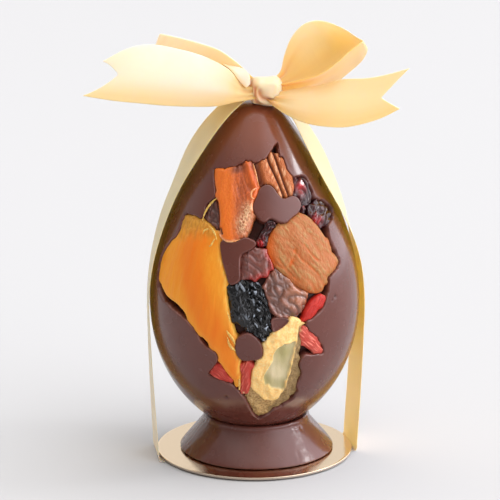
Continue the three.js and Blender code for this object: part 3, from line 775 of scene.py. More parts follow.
def apricotRelief(at):
    fine = at.folds(0.9, 5, 41, 42, swirl=1.2)
    long = at.folds(2.3, 13, 44, 44, swirl=1.8)
    broad = at.grain(6, 13, 42, 40)
    crease = at.along(apricot["crease"], 0.9)
    fold = sum(at.along(line, 0.6) for line in apricot["folds"])
    pucker = at.folds(1.7, 3.6, 43, 30, swirl=1.6)
    lower = ramp(113, 100, at.height + 0.3 * at.azimuth)
    shape = 0.12 * fine + 0.16 * long + 0.7 * broad - 0.5 - 0.5 * crease - 0.3 * fold
    shape += lower * (pucker * 0.4 - 0.25)
    left = ramp(15, 8, at.azimuth + 0.8 * at.grain(3, 8, 45)) * ramp(103, 112, at.height)
    broken = ramp(-0.5, 0.3, at.grain(1.6, 3, 46))
    # warm is deeper orange, painted as shade in the crease and folds, and also on the left edge and the lower
    # part; lines is painted shade in the wrinkles' creases
    warm = np.maximum(0.7 * crease, 0.5 * fold) * broken + 0.9 * left + 0.5 * lower * (1 - pucker)
    lines = np.clip((1 - fine) ** 2 * 0.9 + (1 - long) ** 2 * 1.1, 0, 1)
    return shape, [np.clip(warm, 0, 1), lines, ramp(0.4, -0.3, broad), lower]


def pruneRelief(at):
    swirled = at.folds(2.4, 7.5, 51, 25, swirl=3.6)
    fine = at.folds(1, 2.2, 52, 15, swirl=1.8)
    upper = ramp(84, 92, at.height) * ramp(-4, 2, at.x)
    rough = 0.3 + 0.7 * ramp(-7, 0, at.x + 0.25 * (at.height - 88))
    shape = rough * (1.6 * swirled + 1.1 * fine - 1.9) + upper * 0.5 * fine
    shape += (1 - rough) * 0.8 * at.grain(3, 9, 53, 25)
    tip = np.exp(-np.hypot(at.x - 4, at.height - 74.5) / 2)
    # Painted glints along the wrinkles' backs stand in for highlights; the first mask darkens the creases as
    # painted shade
    glint = rough * np.maximum(fine, swirled) ** 9 * ramp(0, 0.3, at.grain(1.6, 4, 54, 15))
    return shape + 0.8 * tip, [rough * (1 - swirled), np.clip(glint, 0, 1)]


def figRelief(at):
    lumps = at.folds(3.6, 6.4, 61, 40, swirl=3)
    fine = at.folds(1.5, 2.4, 62, 40, swirl=1.4)
    lip = at.along(fig["lip"], 0.8)
    shape = 0.95 * lumps + 0.15 * fine - 0.8 + 0.9 * lip
    # 1 - lumps marks the creases for painted shade
    return shape, [lip, 1 - lumps, ramp(12, 22, at.azimuth) * ramp(85, 91, at.height), fine]


def chunkRelief(at):
    facets = at.folds(4.2, 5.4, 71, 10, swirl=1.2)
    fine = at.folds(1.6, 3, 72, 8, swirl=1)
    red = np.clip(ramp(3.6, 0.6, at.inside) * ramp(-3, 2.5, at.x - 0.6 * (at.height - 108)), 0, 1)
    step = ramp(-0.4, 0.4, at.x + 3.2 + 0.5 * at.grain(2, 2, 73)) - 1
    shape = 0.7 * facets + 0.08 * fine + red * 0.4 * fine - 0.5 + 0.8 * step
    # the creases between facets take painted shade, and a line along the step at the left a painted highlight
    return shape, [red, (1 - facets) ** 2, glow(at.x + 3.1, 0.4)]


def appleRelief(at):
    core = at.within(apple["core"]) + 0.8 * at.grain(2, 2.8, 84)
    right = ramp(-0.3, 0.7, at.rightOf(apple["side"]) + 0.4 * at.grain(2, 3, 85))
    low = at.nearestOn(apple["foot"])
    bottom = ramp(-0.2, 0.5, low[2] - at.height + 0.4 * at.grain(1.5, 1.5, 86)) * (1 - right)
    hollow = ramp(-0.4, 0.6, core)
    pores = at.folds(1.1, 1.6, 81, 20, detail=2)
    shape = pores * 0.16 * (1 - hollow) + 0.9 * at.grain(3, 4, 82) * (1 - hollow)
    shape += -1.1 * hollow - 0.9 * right - 1.3 * bottom + 0.3 * glow(core, 0.8)
    shape += hollow * 0.3 * at.grain(2.4, 7, 83) - 0.2
    return shape, [hollow, right * ramp(80, 76, at.height), bottom, pores]


def raisinRelief(at):
    lumps = at.folds(1.8, 3, 91, 15, swirl=1)
    # 1 - lumps marks the creases for painted shade
    return 0.8 * lumps - 0.5, [0 * lumps, 1 - lumps]


def mangoFinish():
    look = Finish("dried mango", rgb(240, 150, 40), 0.5, Subsurface_Weight=0.15, Subsurface_Scale=0.003,
                  Subsurface_Radius=(1, 0.5, 0.2), Specular_IOR_Level=0.22)
    stripe, pale, frosted, streak = look.tints()
    fibre = look.spread(look.speckle(1, 3, stretch=12, turn=16), 0.3, 0.7)
    look.paint(
        look.mix(fibre, rgb(246, 152, 36), rgb(250, 166, 48)),
        (streak, 0.3, rgb(244, 136, 26)),
        (stripe, 1, rgb(242, 120, 24)),
        (pale, 1, rgb(252, 190, 84)),
        (frosted, 0.85, look.mix(fibre, rgb(180, 122, 40), rgb(222, 162, 66))),
    )
    look.bump(look.sums(fibre, look.speckle(2.5, 3)), 0.06)
    return look.material


def papayaFinish():
    look = Finish("dried papaya", rgb(214, 106, 40), 0.34, Subsurface_Weight=0.12, Subsurface_Scale=0.003,
                  Subsurface_Radius=(1, 0.4, 0.2))
    lobe, strip, pale, dark = look.tints()
    thread = look.spread(look.speckle(0.7, 4, stretch=7, turn=4), 0.35, 0.65)
    look.paint(
        look.mix(thread, rgb(176, 76, 30), rgb(216, 106, 44)),
        (lobe, 1, look.mix(thread, rgb(220, 102, 16), rgb(228, 116, 26))),
        (strip, 1, rgb(216, 98, 28)),
        # chocolate film, and painted shade in the crack and the wrinkles' creases
        (dark, 1, rgb(84, 40, 26)),
        (pale, 1, rgb(240, 190, 144)),
    )
    look.bump(look.sums(thread, look.speckle(2.4, 3)), 0.06)
    return look.material


def pecanFinish():
    look = Finish("pecan", rgb(206, 130, 78), 0.42, Specular_IOR_Level=0.4)
    dark, ridge, patch, flank = look.tints()
    streaks = look.spread(look.speckle(0.6, 4, stretch=9, turn=24), 0.35, 0.65)
    look.paint(
        look.mix(streaks, rgb(172, 88, 36), rgb(200, 116, 58)),
        (patch, 0.5, rgb(190, 98, 46)),
        # painted highlight on the ridges, painted shade on the flank, in the grooves and round the rim
        (ridge, 0.7, rgb(236, 180, 134)),
        (flank, 0.85, rgb(96, 46, 28)),
        (dark, 1, rgb(74, 26, 16)),
    )
    look.bump(look.sums(streaks, look.speckle(0.9, 4)), 0.2)
    return look.material


def apricotFinish():
    look = Finish("dried apricot", rgb(196, 120, 60), 0.48, Subsurface_Weight=0.12, Subsurface_Scale=0.003,
                  Subsurface_Radius=(1, 0.45, 0.2), Specular_IOR_Level=0.3)
    warm, lines, patch, lower = look.tints()
    mottled = look.spread(look.speckle(0.9, 4, stretch=3, turn=40), 0.35, 0.65)
    look.paint(
        look.mix(mottled, rgb(149, 97, 47), rgb(173, 131, 76)),
        (patch, 0.35, rgb(188, 144, 92)),
        (lower, 0.4, rgb(172, 96, 46)),
        # painted shade in the wrinkles' creases, crease and folds, with deeper orange on the left edge and
        # the lower part
        (lines, 0.6, rgb(178, 80, 24)),
        (warm, 1, rgb(214, 98, 26)),
    )
    look.bump(look.sums(mottled, look.speckle(0.7, 4)), 0.1)
    return look.material


def pruneFinish():
    look = Finish("prune", rgb(14, 14, 17), 0.12, Specular_IOR_Level=0.35, Coat_Weight=0.25,
                  Coat_Roughness=0.04)
    crease, glint = look.tints()[:2]
    look.paint(
        look.mix(look.speckle(3, 4), rgb(5, 5, 7), rgb(14, 15, 19)),
        # painted shade in the creases and painted glints
        (crease, 1, rgb(4, 4, 5)),
        (glint, 0.7, rgb(196, 206, 220)),
    )
    look.set("Roughness", look.spread(look.speckle(1.6, 4), 0.3, 0.7, 0.08, 0.2))
    look.bump(look.speckle(1.6, 2), 0.3)
    return look.material


def figFinish():
    look = Finish("fig", rgb(92, 52, 38), 0.24, Specular_IOR_Level=0.5, Coat_Weight=0.6, Coat_Roughness=0.08,
                  Subsurface_Weight=0.06, Subsurface_Scale=0.002)
    lip, crease, warm = look.tints()[:3]
    look.paint(
        look.mix(look.speckle(2.4, 4), rgb(98, 56, 42), rgb(156, 98, 76)),
        (warm, 0.7, rgb(180, 110, 70)),
        # painted shade in the creases
        (crease, 0.7, rgb(66, 34, 26)),
        (lip, 0.6, rgb(160, 100, 84)),
    )
    look.bump(look.speckle(1.4, 2), 0.25)
    return look.material


def chunkFinish():
    look = Finish("sugared red fruit", rgb(112, 62, 54), 0.26, Subsurface_Weight=0.1, Subsurface_Scale=0.002,
                  Coat_Weight=0.35, Coat_Roughness=0.12)
    red, crease, shine = look.tints()[:3]
    look.paint(
        look.mix(look.speckle(1.8, 4), rgb(98, 48, 40), rgb(136, 80, 68)),
        # painted shade in the creases and a painted highlight along the step at the left
        (crease, 0.5, rgb(84, 32, 28)),
        (shine, 0.5, rgb(176, 132, 130)),
        (red, 1, rgb(166, 52, 44)),
    )
    look.bump(look.speckle(1.1, 3), 0.14)
    return look.material


def appleFinish():
    look = Finish("dried apple", rgb(226, 180, 112), 0.46, Subsurface_Weight=0.15, Subsurface_Scale=0.003,
                  Subsurface_Radius=(1, 0.7, 0.35))
    core, side, bottom, pores = look.tints()
    grainy = look.spread(look.speckle(1, 5), 0.35, 0.65)
    clouded = look.spread(look.speckle(12, 1), 0.35, 0.65)
    look.paint(
        look.mix(grainy, rgb(250, 190, 100), rgb(254, 218, 146)),
        (pores, 0.35, rgb(252, 216, 152)),
        (bottom, 1, look.mix(grainy, rgb(156, 116, 62), rgb(216, 182, 124))),
        (side, 1, look.mix(grainy, rgb(124, 96, 56), rgb(168, 138, 88))),
        (core, 1, look.mix(clouded, rgb(174, 162, 108), rgb(220, 204, 162))),
    )
    look.set("Roughness", look.spread(core, 0, 1, 0.5, 0.25))
    look.bump(look.sums(look.speckle(0.8, 4), look.speckle(2, 3)), 0.12)
    return look.material


def berryFinish(name, dark, light, gloss):
    look = Finish(name, dark, gloss, Specular_IOR_Level=0.4, Coat_Weight=0.3, Coat_Roughness=0.05,
                  Subsurface_Weight=0.08, Subsurface_Scale=0.002, Subsurface_Radius=(1, 0.3, 0.2))
    patch, crease = look.tints()[:2]
    # the creases are painted darker as shade
    look.paint(look.mix(patch, dark, light), (crease, 0.6, rgb(16, 6, 8)))
    look.bump(look.speckle(1.4, 2), 0.1)
    return look.material


def gojiFinish():
    look = Finish("goji berry", rgb(220, 56, 38), 0.4, Specular_IOR_Level=0.3, Subsurface_Weight=0.12,
                  Subsurface_Scale=0.002, Subsurface_Radius=(1, 0.25, 0.15))
    pale, crease, tip = look.tints()[:3]
    look.paint(
        look.mix(look.speckle(1.2, 4), rgb(182, 32, 22), rgb(204, 55, 40)),
        # painted shade in the creases, and paler backs that are partly painted sheen
        (crease, 0.6, rgb(164, 24, 18)),
        (pale, 0.8, rgb(250, 150, 128)),
        (tip, 1, rgb(236, 200, 150)),
    )
    look.bump(look.speckle(0.5, 4), 0.15)
    return look.material


layPiece("driedApricot", apricot, apricotRelief, apricotFinish(), "apricot")
layPiece("papayaSlice", papaya, papayaRelief, papayaFinish(), "papaya")
layPiece("pecanHalf", pecan, pecanRelief, pecanFinish(), "nut", [papaya])
layPiece("mangoSlice", mango, mangoRelief, mangoFinish(), "mango", [papaya])
layPiece("appleSlice", apple, appleRelief, appleFinish(), "apple_slice")
layPiece("wholePrune", prune, pruneRelief, pruneFinish(), "prune", [mango, apple])
layPiece("figPiece", fig, figRelief, figFinish(), "fig", [apricot, prune, apple])
layPiece("redFruitChunk", redChunk, chunkRelief, chunkFinish(), "berry", [apricot, prune, fig])
raisinLook = berryFinish("raisin skin", rgb(112, 68, 58), rgb(140, 92, 80), 0.4)
layPiece("raisinPiece", raisin, raisinRelief, raisinLook, "prune", [mango, papaya])
print("fruit laid")

gojis = [
    {"outline": [[26.9, 81.2], [27.5, 85], [30, 88.3], [36.1, 92], [40.1, 92.6], [41.6, 91], [40.1, 87.9],
                 [35.7, 85.3], [31.8, 82.8], [28.1, 81.4]],
     "lean": -43, "tip": [41.4, 92.4, 0.6], "pale": 0, "above": [apple]},
    {"outline": [[24.8, 76.7], [24.2, 74.6], [26.5, 69.5], [29.7, 66.3], [33.6, 64.2], [40.8, 62.7],
                 [38.4, 65.7], [36.8, 69.5], [32.5, 73.6], [27.3, 77.1]],
     "lean": 47, "tip": [24.6, 76.4, 1], "pale": 1, "above": [apple]},
    {"outline": [[-5.9, 59.8], [-8.1, 53.8], [-8.8, 46.8], [-7.2, 42.4], [-5.8, 43.3], [-3, 49.3],
                 [-1.6, 56.2], [-1.6, 59.9]],
     "lean": -15, "tip": [-7, 43.6, 0.5], "pale": 0.7, "above": [mango, apple]},
    {"outline": [[-28.1, 53.1], [-24.5, 55.7], [-21.7, 57.8], [-17, 56.7], [-12.6, 49.4],
                 [-19.8, 48.6], [-25.6, 50.4]],
     "lean": 55, "tip": [-28, 52.7, 0.5], "pale": 0.4, "above": [mango]},
]
cranberries = [
    {"outline": [[32.2, 142.4], [35.6, 147], [43, 147.8], [50, 146.2], [51, 140.6], [48.4, 136.2],
                 [40.6, 134.4], [34.6, 137.6]],
     "lean": 20, "fold": 3.6, "red": [39, 142.6, 2.6], "above": [pecan]},
    {"outline": [[42, 133.6], [49, 135.6], [56, 134.8], [63, 132], [67.8, 127.8], [61, 125], [54, 123.6],
                 [47.4, 124.4], [42.6, 128.6]],
     "lean": -20, "fold": 2.5, "red": [46.5, 127, 2.6], "above": [apricot]},
    {"outline": [[36, 136], [40.4, 134], [38, 131.9], [34.2, 132.8]],
     "lean": 0, "fold": 1.8, "red": [38, 134, 0.5], "above": [apricot]},
    {"outline": [[1.6, 120.8], [5.4, 126], [9.6, 129.2], [13.8, 128.9], [11.4, 124.8], [7.1, 120.2],
                 [4.4, 117.6], [2, 118]],
     "lean": -45, "fold": 1.6, "red": [3.2, 119, 2], "above": [apricot]},
]
berry = {"crown": -0.3, "edge": 2.2, "roll": 2.6, "cell": 0.26} # what all the berries share
goji = berry | {"crown": -0.2, "edge": 2}


def layBerries():
    gojiLook = gojiFinish()
    for number, spec in enumerate(gojis, 1):
        def wrinkled(at, spec=spec, seed=100 + number):
            backs = at.folds(0.7, 6, seed, spec["lean"], swirl=0.5)
            # paler on the backs of the wrinkles, partly the skin's pale veins and partly painted sheen; 1 -
            # backs is painted shade in the creases
            pale = spec["pale"] * (0.2 + 0.8 * backs ** 3)
            return 0.35 * backs - 0.3, [pale, 1 - backs, at.nearSpot(spec["tip"])]

        spec = goji | spec | {"node": f"goji_berry_{number}"}
        layPiece(f"gojiBerry{number}", spec, wrinkled, gojiLook, "goji", spec["above"])

    berryLook = berryFinish("cranberry", rgb(66, 18, 22), rgb(190, 26, 28), 0.14)
    for number, spec in enumerate(cranberries, 1):
        def shrivelled(at, spec=spec, seed=110 + number):
            backs = at.folds(spec["fold"], spec["fold"] * 1.5, seed, spec["lean"], swirl=2)
            # 1 - backs marks the creases for painted shade
            return 1.4 * backs - 0.9, [at.nearSpot(spec["red"]), 1 - backs]

        spec = berry | spec | {"node": f"cranberry_{number}"}
        layPiece(f"driedCranberry{number}", spec, shrivelled, berryLook, "berry", spec["above"])


layBerries()
print("berries laid")

shreds = { # [azimuth, height, lift] along each, and its greatest width
    "mangoShreds": {"node": "mango_slice", "slot": "mango", "lines": [
        ([[-37, 127.6, -0.4], [-36.6, 131, -0.2], [-34.6, 134.4, -0.1], [-32, 136.8, 0],
          [-29.4, 138.6, -0.2]], 1.2),
        ([[-33.8, 121.6, 0.3], [-33, 123, 0.9], [-31.4, 124, 0.9], [-29.7, 124.2, 0.4]], 0.9),
        ([[-30, 125.4, 0.2], [-27.4, 124.4, 0.9], [-25, 122.4, 1], [-23.4, 119.8, 0.4]], 1),
        ([[-28, 116.4, 0.3], [-26.4, 117.2, 1], [-25.4, 118.8, 1], [-24.8, 120.4, 0.4]], 0.9),
        ([[-14.8, 77.4, 0.2], [-13.2, 75.6, 0.8], [-11.2, 73, 0.8], [-10.4, 70.6, 0.3]], 1.5),
        ([[-14.4, 74, 0.2], [-13.4, 71, 0.8], [-11.8, 68.6, 0.7], [-10.4, 67.4, 0.1]], 1.3),
        ([[-14.6, 87, 0.1], [-13.4, 84, 0.4], [-12.4, 81, 0.3]], 0.6),
        ([[-9, 52, 0.2], [-9, 49, 0.4], [-9.5, 45.6, -0.2]], 0.7),
    ]},
    "papayaShreds": {"node": "papaya_slice", "slot": "papaya", "lines": [
        ([[-1.6, 154.9, -0.2], [0.2, 151.6, 0.5], [1.7, 148.4, 0.6], [3.2, 144.6, 0.1]], 0.7),
        ([[1.4, 143.8, 0.4], [-0.6, 143, 1], [-2.6, 141.6, 1.1], [-2.4, 139.6, 1], [-0.6, 138.8, 0.5]], 0.9),
        ([[-23.4, 124, -0.2], [-21.2, 121.4, 0.2], [-17, 119.6, 0.3], [-12, 119.9, 0], [-9, 121, -0.4]], 0.8),
    ]},
}


shred = {"thick": 0.25, "columns": 6, "rows": 28}


def makeShreds(lines):
    bm = bmesh.new()
    for points, width in lines:
        grid = bmesh.ops.create_grid(bm, x_segments=shred["columns"], y_segments=shred["rows"], size=0.5)
        made = grid["verts"]
        side, far = (np.array([vert.co[:2] for vert in made]) + 0.5).T
        line = curveAt(points, far)
        ahead = curveAt(points, np.minimum(far + 0.01, 1)) - curveAt(points, np.maximum(far - 0.01, 0))
        perDegree = eggRadius(line[:, 1]) * radians(1)
        flat = np.column_stack([ahead[:, 0] * perDegree, ahead[:, 1]])
        flat /= np.linalg.norm(flat, axis=1)[:, None]
        offset = (side - 0.5) * width * np.sin(pi * np.clip(far, 0.06, 0.94)) ** 0.6
        lift = line[:, 2] + 0.25 * width * np.cos(pi * (side - 0.5))
        places = onEgg(line[:, 0] + flat[:, 1] * offset / perDegree, line[:, 1] - flat[:, 0] * offset, lift)
        for vert, place in zip(made, places):
            vert.co = place
    bmesh.ops.recalc_face_normals(bm, faces=bm.faces)
    bmesh.ops.solidify(bm, geom=bm.faces, thickness=shred["thick"])
    return bm


def shredFinish(name, dark, light):
    look = Finish(name, light, 0.4, Subsurface_Weight=0.3, Subsurface_Scale=0.002,
                  Subsurface_Radius=(1, 0.6, 0.2))
    look.paint(look.mix(look.spread(look.speckle(0.7, 3), 0.35, 0.65), dark, light))
    look.bump(look.speckle(0.4, 3), 0.08)
    return look.material


def layShreds():
    looks = {
        "mangoShreds": shredFinish("mango fibre", rgb(206, 150, 60), rgb(246, 206, 112)),
        "papayaShreds": shredFinish("papaya fibre", rgb(224, 130, 70), rgb(244, 176, 124)),
    }
    for name, spec in shreds.items():
        addPiece(makeShreds(spec["lines"]), name, looks[name], spec["slot"], spec["node"])


layShreds()
print("shreds laid")


# Ribbon

ribbon = {
    "width": 29, "thick": 0.35, "columns": 18, "strapSteps": 150, "underSteps": 40,
    "pleatsAcross": 2.4,
    "runOn": 60, # mm that a rail would go on past its end over its whole share
}
knot = {
    "x": 5.4, "y": -6.5, "z": 187.1, "halfWidth": 8.3, "halfDepth": 9.2, "halfHeight": 8,
    "creases": [
        [[-0.5, 0.15], [-0.52, -0.2], [-0.42, -0.55], [-0.2, -0.9]],
        [[-0.25, 0], [-0.05, -0.35], [0.3, -0.5], [0.85, -0.5]],
        [[-0.85, 0.5], [-0.75, 0.1], [-0.8, -0.4]],
    ],
    "creaseWidth": 0.15, "square": 0.68, # below 1 it fills its box's corners more
    "full": 0.94, "pinch": 0.2, "soft": 0.08, "dip": 0.1, # shares of its half sizes
}
loose = { # what a part of the bow is where it doesn't say otherwise
    "bulge": 0, "notch": 0, "tan": 0, "patches": [], "held": "gathered", "goes": [],
}
# warm and tan are shares of painted shade, and pale of painted sheen
bow = {
    "tailLeft": {
        "node": "ribbon_tail_left",
        "first": [[3, -10, 189], [-6, -12, 190.5], [-12.3, -16, 198.4], [-24.2, -21, 205.7],
                  [-33.7, -25, 209.3], [-49.1, -31, 212.8], [-59.3, -36, 211.9], [-72, -41, 206]],
        "second": [[3, -11, 184], [-8, -17, 183], [-18.1, -23, 181.8], [-30.9, -29, 182.4],
                   [-42.4, -34, 183.6], [-55.2, -39, 185.6], [-67.2, -43, 187.5], [-81.4, -47, 190.5]],
        "bulge": 3, "notch": 0.13, "pleats": 1.3, "reach": 0.12, "steps": 90,
        "warm": 0.9, "pale": 0.9, "goes": ["knot"],
    },
    "tailRight": {
        "node": "ribbon_tail_right",
        "first": [[8, -11, 186], [14, -12, 187.4], [22.2, -13, 189.2], [34.8, -14, 191.3], [42, -15, 193.7],
                  [54.2, -17, 194.7], [64.4, -19, 196.9], [75.1, -20, 200.1]],
        "second": [[6, -12, 182.5], [10, -18, 180.4], [15, -22, 177.6], [23.1, -25, 174.3],
                   [32.3, -28, 172.8], [44.6, -29, 172.6], [60, -28, 176.4], [70, -27, 181.2]],
        "bulge": 2, "notch": 0.16, "pleats": 1.7, "reach": 0.16, "steps": 90,
        "warm": 0.4, "tan": 0.15, "pale": 0.4,
    },
    "fold": { # the left loop's edge, turned over beside the knot
        "node": "ribbon_loop_left",
        "first": [[-15.8, -11, 200.8], [-10.9, -10, 199.6], [-7, -9, 198.7], [-4.1, -9, 197.2],
                  [-2.5, -10, 194.7], [-2.1, -12, 191]],
        "second": [[-15.7, -12, 200.7], [-12.3, -14, 198.5], [-8.9, -14.5, 194.8], [-6, -14, 191],
                   [-4.1, -14, 189.4]],
        "bulge": 0.8, "pleats": 0, "reach": 0.1, "steps": 30,
        "warm": 0.1, "pale": 0.6, "held": None,
    },
    "loopLeft": {
        "node": "ribbon_loop_left",
        "first": [[3, -5, 190], [-3.9, -7, 196.5], [-8.2, -9, 200.9], [-16.9, -12, 207.6],
                  [-24.6, -12, 210.5], [-34.2, -11, 213.1], [-42.5, -9, 214.7], [-46, -4, 214.7],
                  [-45.4, 1, 213.4], [-42.1, 5, 211.6], [-34.9, 9, 208.7], [-25.1, 11, 205.4],
                  [-17.1, 11, 202.2], [-5.6, 4, 193.7], [3, 0, 188.5]],
        "second": [[3, -4, 186], [-7.1, -5, 184.8], [-14.4, -7, 182.6], [-24.2, -8, 182],
                   [-34, -8, 182.6], [-46.3, -7, 185], [-53.3, -4.5, 186.6], [-56.7, 0, 187],
                   [-54.8, 5, 186.4], [-47, 8, 184.6], [-34.6, 10, 182.4], [-24.7, 10, 181.8],
                   [-14.6, 8, 182.2], [-7.1, 3, 184.6], [3, -0.5, 186]],
        "pleats": 0.8, "reach": 0.08, "steps": 150,
        "warm": 0.1, "pale": 0.9, "goes": ["fold"],
    },
    "loopRight": {
        "node": "ribbon_loop_right",
        "first": [[7, -4, 190], [13, 2, 195.5], [14.5, 4, 202.4], [18.2, 4, 212.1], [24.1, 4, 218.5],
                  [31.5, 3, 220.4], [42.2, 0, 217.4], [49.5, -6, 213.4], [52.4, -12, 212], [50.5, -17, 211.4],
                  [45.8, -20, 208.4], [40, -20, 203.1], [32.2, -19, 197.4], [21, -15, 193.4], [9, -9, 190]],
        "second": [[7, 0, 189], [15, 7, 186.4], [24, 12, 186.4], [31, 14, 187.6], [38, 16, 191],
                   [46.4, 18, 198.3], [52.3, 17, 203.9], [55.7, 15, 206.4], [56.6, 13, 204.7],
                   [54.1, 11, 199.7], [47.6, 10, 193.8], [38.6, 8, 187.4], [28, 3, 184.4],
                   [18, -3, 184], [9, -8, 185.5]],
        "pleats": 1, "reach": 0.1, "steps": 170,
        "warm": 0.9, "pale": 0.9,
        "patches": [[0.4, 0.55, 0.1, 0.3]], # places of painted warm shade: along, across, and their size that way
    },
}
straps = { # [height, azimuth] places that each side of the ribbon passes, from the card up
    "left": [[0, -81], [95, -86], [141, -82], [157, -77], [172, -62], [184, -45]],
    "right": [[0, 101], [95, 100], [125, 88], [142, 81], [157, 77], [184, 72]],
}
strapLine = [ # [radius, height] down the egg, round the card's rim and in beneath it
    [3, 184], [11, 183.4], [19, 177.6], [28, 163.4], [38.2, 142], [46.6, 121], [51.9, 100],
    [53.8, 82], [53.5, 60], [52.3, 30], [51, 6], [50.8, 1.4], [50.4, 0.55], [49.6, 0.3], [47, 0.3],
]
gathering = {"from": 150, "to": 184, "share": 0.55} # how much the straps narrow up to the knot
underCard = {"radius": 46.7, "height": 0.25}


def satinFinish(name, sheenTint):
    look = Finish(name, rgb(240, 204, 156), 0.45, Specular_IOR_Level=0.5, Sheen_Weight=0.2,
                  Sheen_Roughness=0.4, Subsurface_Weight=1, Subsurface_Scale=0.002,
                  Subsurface_Radius=(1, 0.75, 0.42), Anisotropic=0.4)
    along = look.node("UVMap", uv_map="cloth").outputs["UV"]
    stretched = look.node("Mapping", {"Vector": along, "Scale": (1, 0.04, 1)}).outputs["Vector"]
    threads = look.node("TexNoise", {"Vector": stretched, "Scale": 3, "Detail": 3}).outputs["Fac"]
    warm, pale, strawShade, crease = look.tints()
    # Painted light: a sheen colour on the lit parts, darker and yellower straps' tops as shade, warm shade in
    # the gathers by the knot and on the loops, and shade in the pleats' troughs
    look.paint(
        look.mix(look.spread(threads, 0.3, 0.7), rgb(228, 186, 143), rgb(232, 191, 149)),
        (pale, 1, sheenTint),
        (strawShade, 1, rgb(222, 190, 134)),
        (warm, 1, rgb(237, 178, 104)),
        (crease, 1, rgb(222, 140, 72)),
    )
    weave = look.node("TexWave", {"Vector": along, "Scale": 1.2, "Distortion": 1.5}, bands_direction="Y")
    look.bump(look.sums(threads, look.sums(weave.outputs["Fac"], 0.3, "MULTIPLY")), 0.02)
    return look.material


# The second colour is that of the painted sheen
satin = satinFinish("cream satin ribbon", rgb(240, 212, 192))
knotSatin = satinFinish("cream satin knot", rgb(242, 222, 184))


def railAt(points, places):
    # Places along a rail, and straight on past its end
    inside = np.clip(places, 0, 1)
    ahead = curveAt(points, np.minimum(inside + 1e-3, 1)) - curveAt(points, np.maximum(inside - 1e-3, 0))
    ahead /= np.linalg.norm(ahead, axis=1)[:, None]
    return curveAt(points, inside) + ahead * ((places - inside) * ribbon["runOn"])[:, None]


def betweenRails(spec):
    def place(side, far):
        cut = far * (1 - spec["notch"] * (1 - np.abs(2 * side - 1)))
        point = railAt(spec["first"], cut)
        point += (railAt(spec["second"], cut) - point) * side[:, None]
        point[:, 1] -= spec["bulge"] * np.sin(pi * side) * np.sin(pi * np.clip(cut, 0, 1))
        return point
    return place


def makeRibbon(name, node, place, steps, lift, held, goes=()):
    # place gives the middle surface; lift pushes it along its normal and paints it
    bm = bmesh.new()
    bmesh.ops.create_grid(bm, x_segments=ribbon["columns"], y_segments=steps, size=0.5)
    side, far = (np.array([vert.co[:2] for vert in bm.verts]) + 0.5).T
    step = 1e-3
    points = place(side, far)
    sideways = place(side + step, far) - place(side - step, far)
    onwards = place(side, far + step) - place(side, far - step)
    normal = np.cross(onwards, sideways)
    normal /= np.linalg.norm(normal, axis=1)[:, None]
    raised, *tint = lift(side, far)
    points = points + normal * raised[:, None]
    middle = place(np.full(200, 0.5), np.linspace(0, 1, 200))
    length = float(np.linalg.norm(np.diff(middle, axis=0), axis=1).sum())
    painted = bm.verts.layers.float_color.new("tint")
    for vert, point, *mask in zip(bm.verts, points, *tint):
        vert.co = point
        vert[painted] = mask
    cloth = bm.loops.layers.uv.new("cloth") # places on the flat cloth, in cm
    bm.verts.index_update()
    for face in bm.faces:
        for loop in face.loops:
            index = loop.vert.index
            loop[cloth].uv = (side[index] * ribbon["width"] / 10, far[index] * length / 10)
    piece = addPiece(bm, name, satin, "satin", node)
    body = piece.modifiers.new("thickness", "SOLIDIFY")
    body.thickness, body.offset = ribbon["thick"] * mm, 0
    smooth = piece.modifiers.new("smoothing", "SUBSURF")
    smooth.levels = smooth.render_levels = 1
    return piece


def makeKnot():
    # A soft band pinched by a few creases on its front; places are shares across and up
    bm = bmesh.new()
    bmesh.ops.create_uvsphere(bm, u_segments=160, v_segments=90, radius=1)
    painted = bm.verts.layers.float_color.new("tint")
    dots = np.vstack([np.linspace(a, b, 12) for line in knot["creases"] for a, b in zip(line, line[1:])])
    for vert in bm.verts:
        front, up, across = vert.co
        away = np.hypot(dots[:, 0] - across, dots[:, 1] - up).min()
        pinch = glow(away, knot["creaseWidth"]) * ramp(0, 0.4, front)
        soft = noise.noise((front * 1.2, up * 1.4 + across, across * 1.4 - up))
        dip = glow(across - 0.1, 0.45) * ramp(0.4, 1, up)
        reach = knot["full"] - knot["pinch"] * pinch + knot["soft"] * soft - knot["dip"] * dip
        # Painted light: a sheen on its upper right, warmer shade on its left away from the light, and shade
        # in its creases
        pale = np.exp(-((across - 0.35) ** 2 + (up - 0.35) ** 2) / 0.6)
        vert[painted] = (0.2 * ramp(0, -0.8, across), 0.6 + 0.4 * pale, 0, 0.7 * pinch)
        vert.co = (
            knot["x"] + knot["halfWidth"] * np.sign(across) * abs(across) ** knot["square"],
            knot["y"] - knot["halfDepth"] * reach * np.sign(front) * abs(front) ** 0.8,
            knot["z"] + knot["halfHeight"] * reach * np.sign(up) * abs(up) ** knot["square"],
        )
    bmesh.ops.recalc_face_normals(bm, faces=bm.faces)
    uv = bm.loops.layers.uv.new("cloth")
    for face in bm.faces:
        for loop in face.loops:
            loop[uv].uv = ((loop.vert.co.x - knot["x"]) / 10, loop.vert.co.z / 10)
    return addPiece(bm, "ribbonKnot", knotSatin, "satin", "ribbon_knot")


